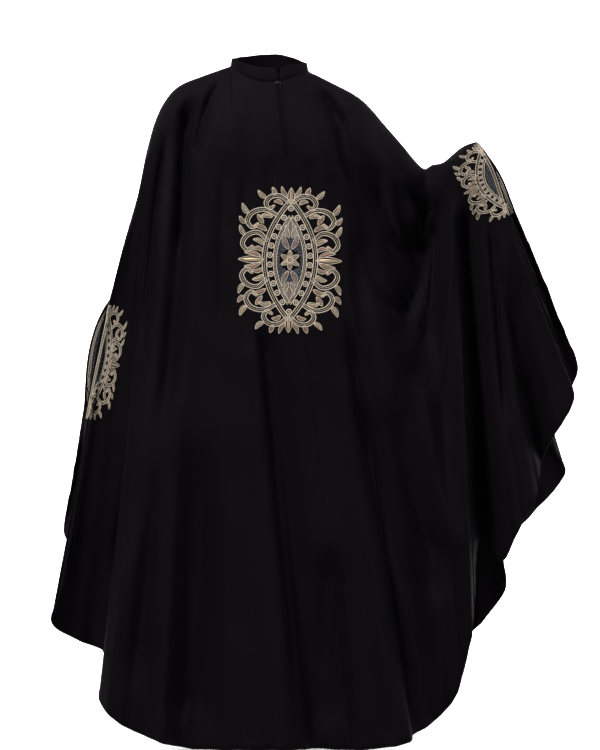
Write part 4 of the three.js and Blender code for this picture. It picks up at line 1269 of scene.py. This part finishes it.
class ABAYA_OT_collar(bpy.types.Operator):
    """Set the stand collar with its notch, its seam and its stitches"""

    bl_idname = "abaya.collar"
    bl_label = "Stand Collar"

    def execute(self, context):
        angles, from_end = self.turns()
        base = neck_points(angles)
        out = np.stack([np.sin(angles), -np.cos(angles), np.zeros(len(angles))], axis=-1)
        full = mix(COLLAR["front"], COLLAR["back"], (1 - np.cos(angles)) / 2)
        full = full - COLLAR["side_dip"] * np.sin(angles) ** 2
        height = full - COLLAR_END["corner"] * (1 - np.sqrt(1 - (1 - from_end) ** 2))
        height = height + sum(rise * np.sin(count * angles + start) for rise, count, start in COLLAR_WAVES)
        points = []
        for k in range(len(angles)):
            section = self.section(height[k])
            for inward, up in section:
                share = up / height[k]
                bulge = COLLAR["bulge"] * math.sin(math.pi * min(1.0, share))
                lean = COLLAR["inset"] + COLLAR["lean"] * share + inward - bulge
                points.append((base[k] - out[k] * lean + np.array((0, 0, up - COLLAR["sink"]))) * MM)
        faces = [tuple(reversed(face)) for face in grid_faces(len(angles), len(section), ends=True)]
        crepe_piece(context, "collar_cloth", points, faces, "stand_collar")
        self.edges(context, base, out, height)
        return {"FINISHED"}

    def turns(self):
        """Angles round the neck from notch to notch, and how far each is past the round end corners"""
        radius = (NECK["half_width"] + NECK["half_depth"]) / 2
        end, corner = COLLAR_END["gap"] / radius, COLLAR_END["corner"] / radius
        turns = np.linspace(0, 2 * (math.pi - end), COLLAR_STEPS["round"] + 1)
        crowd = np.linspace(0, corner, COLLAR_STEPS["corner"] + 1)
        turns = np.unique(np.concatenate([crowd, turns[-1] - crowd, turns]))
        return notch_angle() + end + turns, np.clip(np.minimum(turns, turns[-1] - turns) / corner, 0, 1)

    def section(self, height):
        """The collar's cut as steps inwards and up: outer face, round top edge, inner face"""
        wall = COLLAR["wall"]
        stand = height - wall / 2
        sides = np.arange(COLLAR_STEPS["side"]) / COLLAR_STEPS["side"] * stand
        top = [(wall / 2 * (1 - math.cos(turn)), stand + wall / 2 * math.sin(turn))
               for turn in np.linspace(0, math.pi, COLLAR_STEPS["top"] + 1)]
        return [(0.0, up) for up in sides] + top + [(wall, up) for up in reversed(sides)]

    def edges(self, context, base, out, height):
        """The seam at the collar's foot and a row of stitches near its foot and its top edge"""
        seam = (base - out * COLLAR_SEAM["inset"] + np.array((0, 0, COLLAR_SEAM["rise"]))) * MM
        cord = tube(seam, COLLAR_SEAM["radius"] * MM, COLLAR_SEAM["flatness"])
        crepe_piece(context, "collar_seam", *cord)
        rows = []
        for share in COLLAR_STITCH_HEIGHTS:
            bulge = COLLAR["stitch_bulge"] * math.sin(math.pi * share)
            line = base - out * (COLLAR["inset"] + COLLAR["lean"] * share - bulge)
            line[:, 2] += height * share - COLLAR["sink"]
            rows.extend(stitch_row(line * MM, out, context.scene.abaya_cloth.stitch_length, TRIM_STITCH))
        crepe_piece(context, "collar_stitches", *joined(rows))


class ABAYA_OT_slit(bpy.types.Operator):
    """Bind the neck slit and sew on its wire hook and thread bar"""

    bl_idname = "abaya.slit"
    bl_label = "Neck Slit and Hook"

    def execute(self, context):
        edges = panel_of(FRONT).slit_edges()
        length = context.scene.abaya_cloth.stitch_length
        parts = []
        for sign, path in zip((-1, 1), edges):
            shifted = path + np.array((sign * SLIT_BINDING["out"], -SLIT_BINDING["proud"], 0.0)) * MM
            parts.append(tube(shifted, SLIT["binding"] * MM, SLIT_BINDING["flatness"], up=(0, 1, 0)))
            line = path + np.array((sign * SLIT_STITCHES["out"], -SLIT_STITCHES["proud"], 0.0)) * MM
            normals = np.tile((0.0, -1.0, 0.0), (len(line), 1))
            parts.extend(stitch_row(line, normals, length, TRIM_STITCH))
        across = np.linspace(SLIT_BAR["from"], SLIT_BAR["to"], 6)
        bar = [edges[0][-1] + np.array((x, -SLIT_BAR["proud"], -SLIT_BAR["sink"])) * MM for x in across]
        parts.append(tube(bar, SLIT_BAR["radius"] * MM, SLIT_BAR["flatness"]))
        crepe_piece(context, "slit_binding", *joined(parts))
        self.hook(context)
        return {"FINISHED"}

    def hook(self, context):
        at = neck_points(np.array([notch_angle()]))[0]
        (x, y, z), across, down = HOOK_LOOP["place"], HOOK_LOOP["half_width"], HOOK_LOOP["half_height"]
        loop = [(x - across * math.sin(turn), y, z - down * (1 - math.cos(turn)))
                for turn in np.linspace(0, HOOK_LOOP["turn"], 12)]
        wire = tube((curve_samples(HOOK_WIRE, 28) + at) * MM, HOOK_RADIUS["wire"] * MM)
        loop = tube((curve_samples(loop, 24) + at) * MM, HOOK_RADIUS["loop"] * MM)
        metal = made_once("wire", metal_material, context.scene.abaya_cloth)
        wear(new_mesh_object("wire_hook", *joined([wire, loop]), [metal]), "hook_metal", "collar_hook")
        bar = tube((curve_samples(THREAD_BAR, 16) + at) * MM, HOOK_RADIUS["bar"] * MM)
        crepe_piece(context, "thread_bar", *bar)


class ABAYA_OT_chest_embroidery(bpy.types.Operator):
    """Work the medallion on the chest"""

    bl_idname = "abaya.chest_embroidery"
    bl_label = "Chest Embroidery"

    def execute(self, context):
        cloth = made_once(f"cloth {FRONT}", Cloth, panel_of(FRONT))
        work = Needlework(cloth, CHEST_MOTIF)
        sew_ovals(work, False)
        sew_strokes(work, False)
        sew_field(work)
        work.made("chest_medallion", context, "chest_embroidery")
        return {"FINISHED"}


class ABAYA_OT_cuff_embroidery(bpy.types.Operator):
    """Work half medallions along both cuffs, through to the inner face"""

    bl_idname = "abaya.cuff_embroidery"
    bl_label = "Cuff Embroidery"

    def execute(self, context):
        wall = context.scene.abaya_cloth.cloth_thickness
        cuffs = {
            "low_cuff_front": (FRONT, LOW_FRONT_MOTIF),
            "low_cuff_back": (BACK, LOW_BACK_MOTIF),
            "raised_cuff_front": (FRONT, RAISED_FRONT_MOTIF),
            "raised_cuff_back": (BACK, RAISED_BACK_MOTIF),
        }
        for name, (side, motif) in cuffs.items():
            panel = panel_of(side)
            work = Needlework(made_once(f"cloth {side}", Cloth, panel), motif)
            edge = cuff_edge(work, panel, name.startswith("low"))
            for face in (work.cloth, made_once(f"inner cloth {side}", Cloth, panel, wall)):
                work.cloth = face
                sew_ovals(work, True)
                sew_strokes(work, True)
                sew_cuff_edge(work, edge)
            work.made(f"{name}_medallion", context, f"{name}_embroidery")
        return {"FINISHED"}


class ABAYA_PT_panel(bpy.types.Panel):
    """The abaya's pieces and settings"""

    bl_idname = "ABAYA_PT_panel"
    bl_label = "Butterfly Abaya"
    bl_space_type = "VIEW_3D"
    bl_region_type = "UI"
    bl_category = "Abaya"

    def draw(self, context):
        layout = self.layout
        for group in (context.scene.abaya_cloth, context.scene.abaya_embroidery, context.scene.abaya_stage):
            box = layout.box()
            for name in group.__annotations__:
                box.prop(group, name)
        for operator in OPERATORS:
            layout.operator(operator.bl_idname)


OPERATORS = (
    ABAYA_OT_stage,
    ABAYA_OT_panels,
    ABAYA_OT_hems,
    ABAYA_OT_collar,
    ABAYA_OT_slit,
    ABAYA_OT_chest_embroidery,
    ABAYA_OT_cuff_embroidery,
)
SETTINGS = {
    "abaya_cloth": AbayaClothSettings,
    "abaya_embroidery": AbayaEmbroiderySettings,
    "abaya_stage": AbayaStageSettings,
}


def register():
    for name, group in SETTINGS.items():
        bpy.utils.register_class(group)
        setattr(bpy.types.Scene, name, bpy.props.PointerProperty(type=group))
    for operator in OPERATORS:
        bpy.utils.register_class(operator)
    bpy.utils.register_class(ABAYA_PT_panel)


def unregister():
    bpy.utils.unregister_class(ABAYA_PT_panel)
    for operator in reversed(OPERATORS):
        bpy.utils.unregister_class(operator)
    for name, group in SETTINGS.items():
        delattr(bpy.types.Scene, name)
        bpy.utils.unregister_class(group)


def main():
    register()
    bpy.ops.abaya.stage()
    bpy.ops.abaya.panels()
    bpy.ops.abaya.hems()
    bpy.ops.abaya.collar()
    bpy.ops.abaya.slit()
    bpy.ops.abaya.chest_embroidery()
    bpy.ops.abaya.cuff_embroidery()


if __name__ == "__main__":
    main()
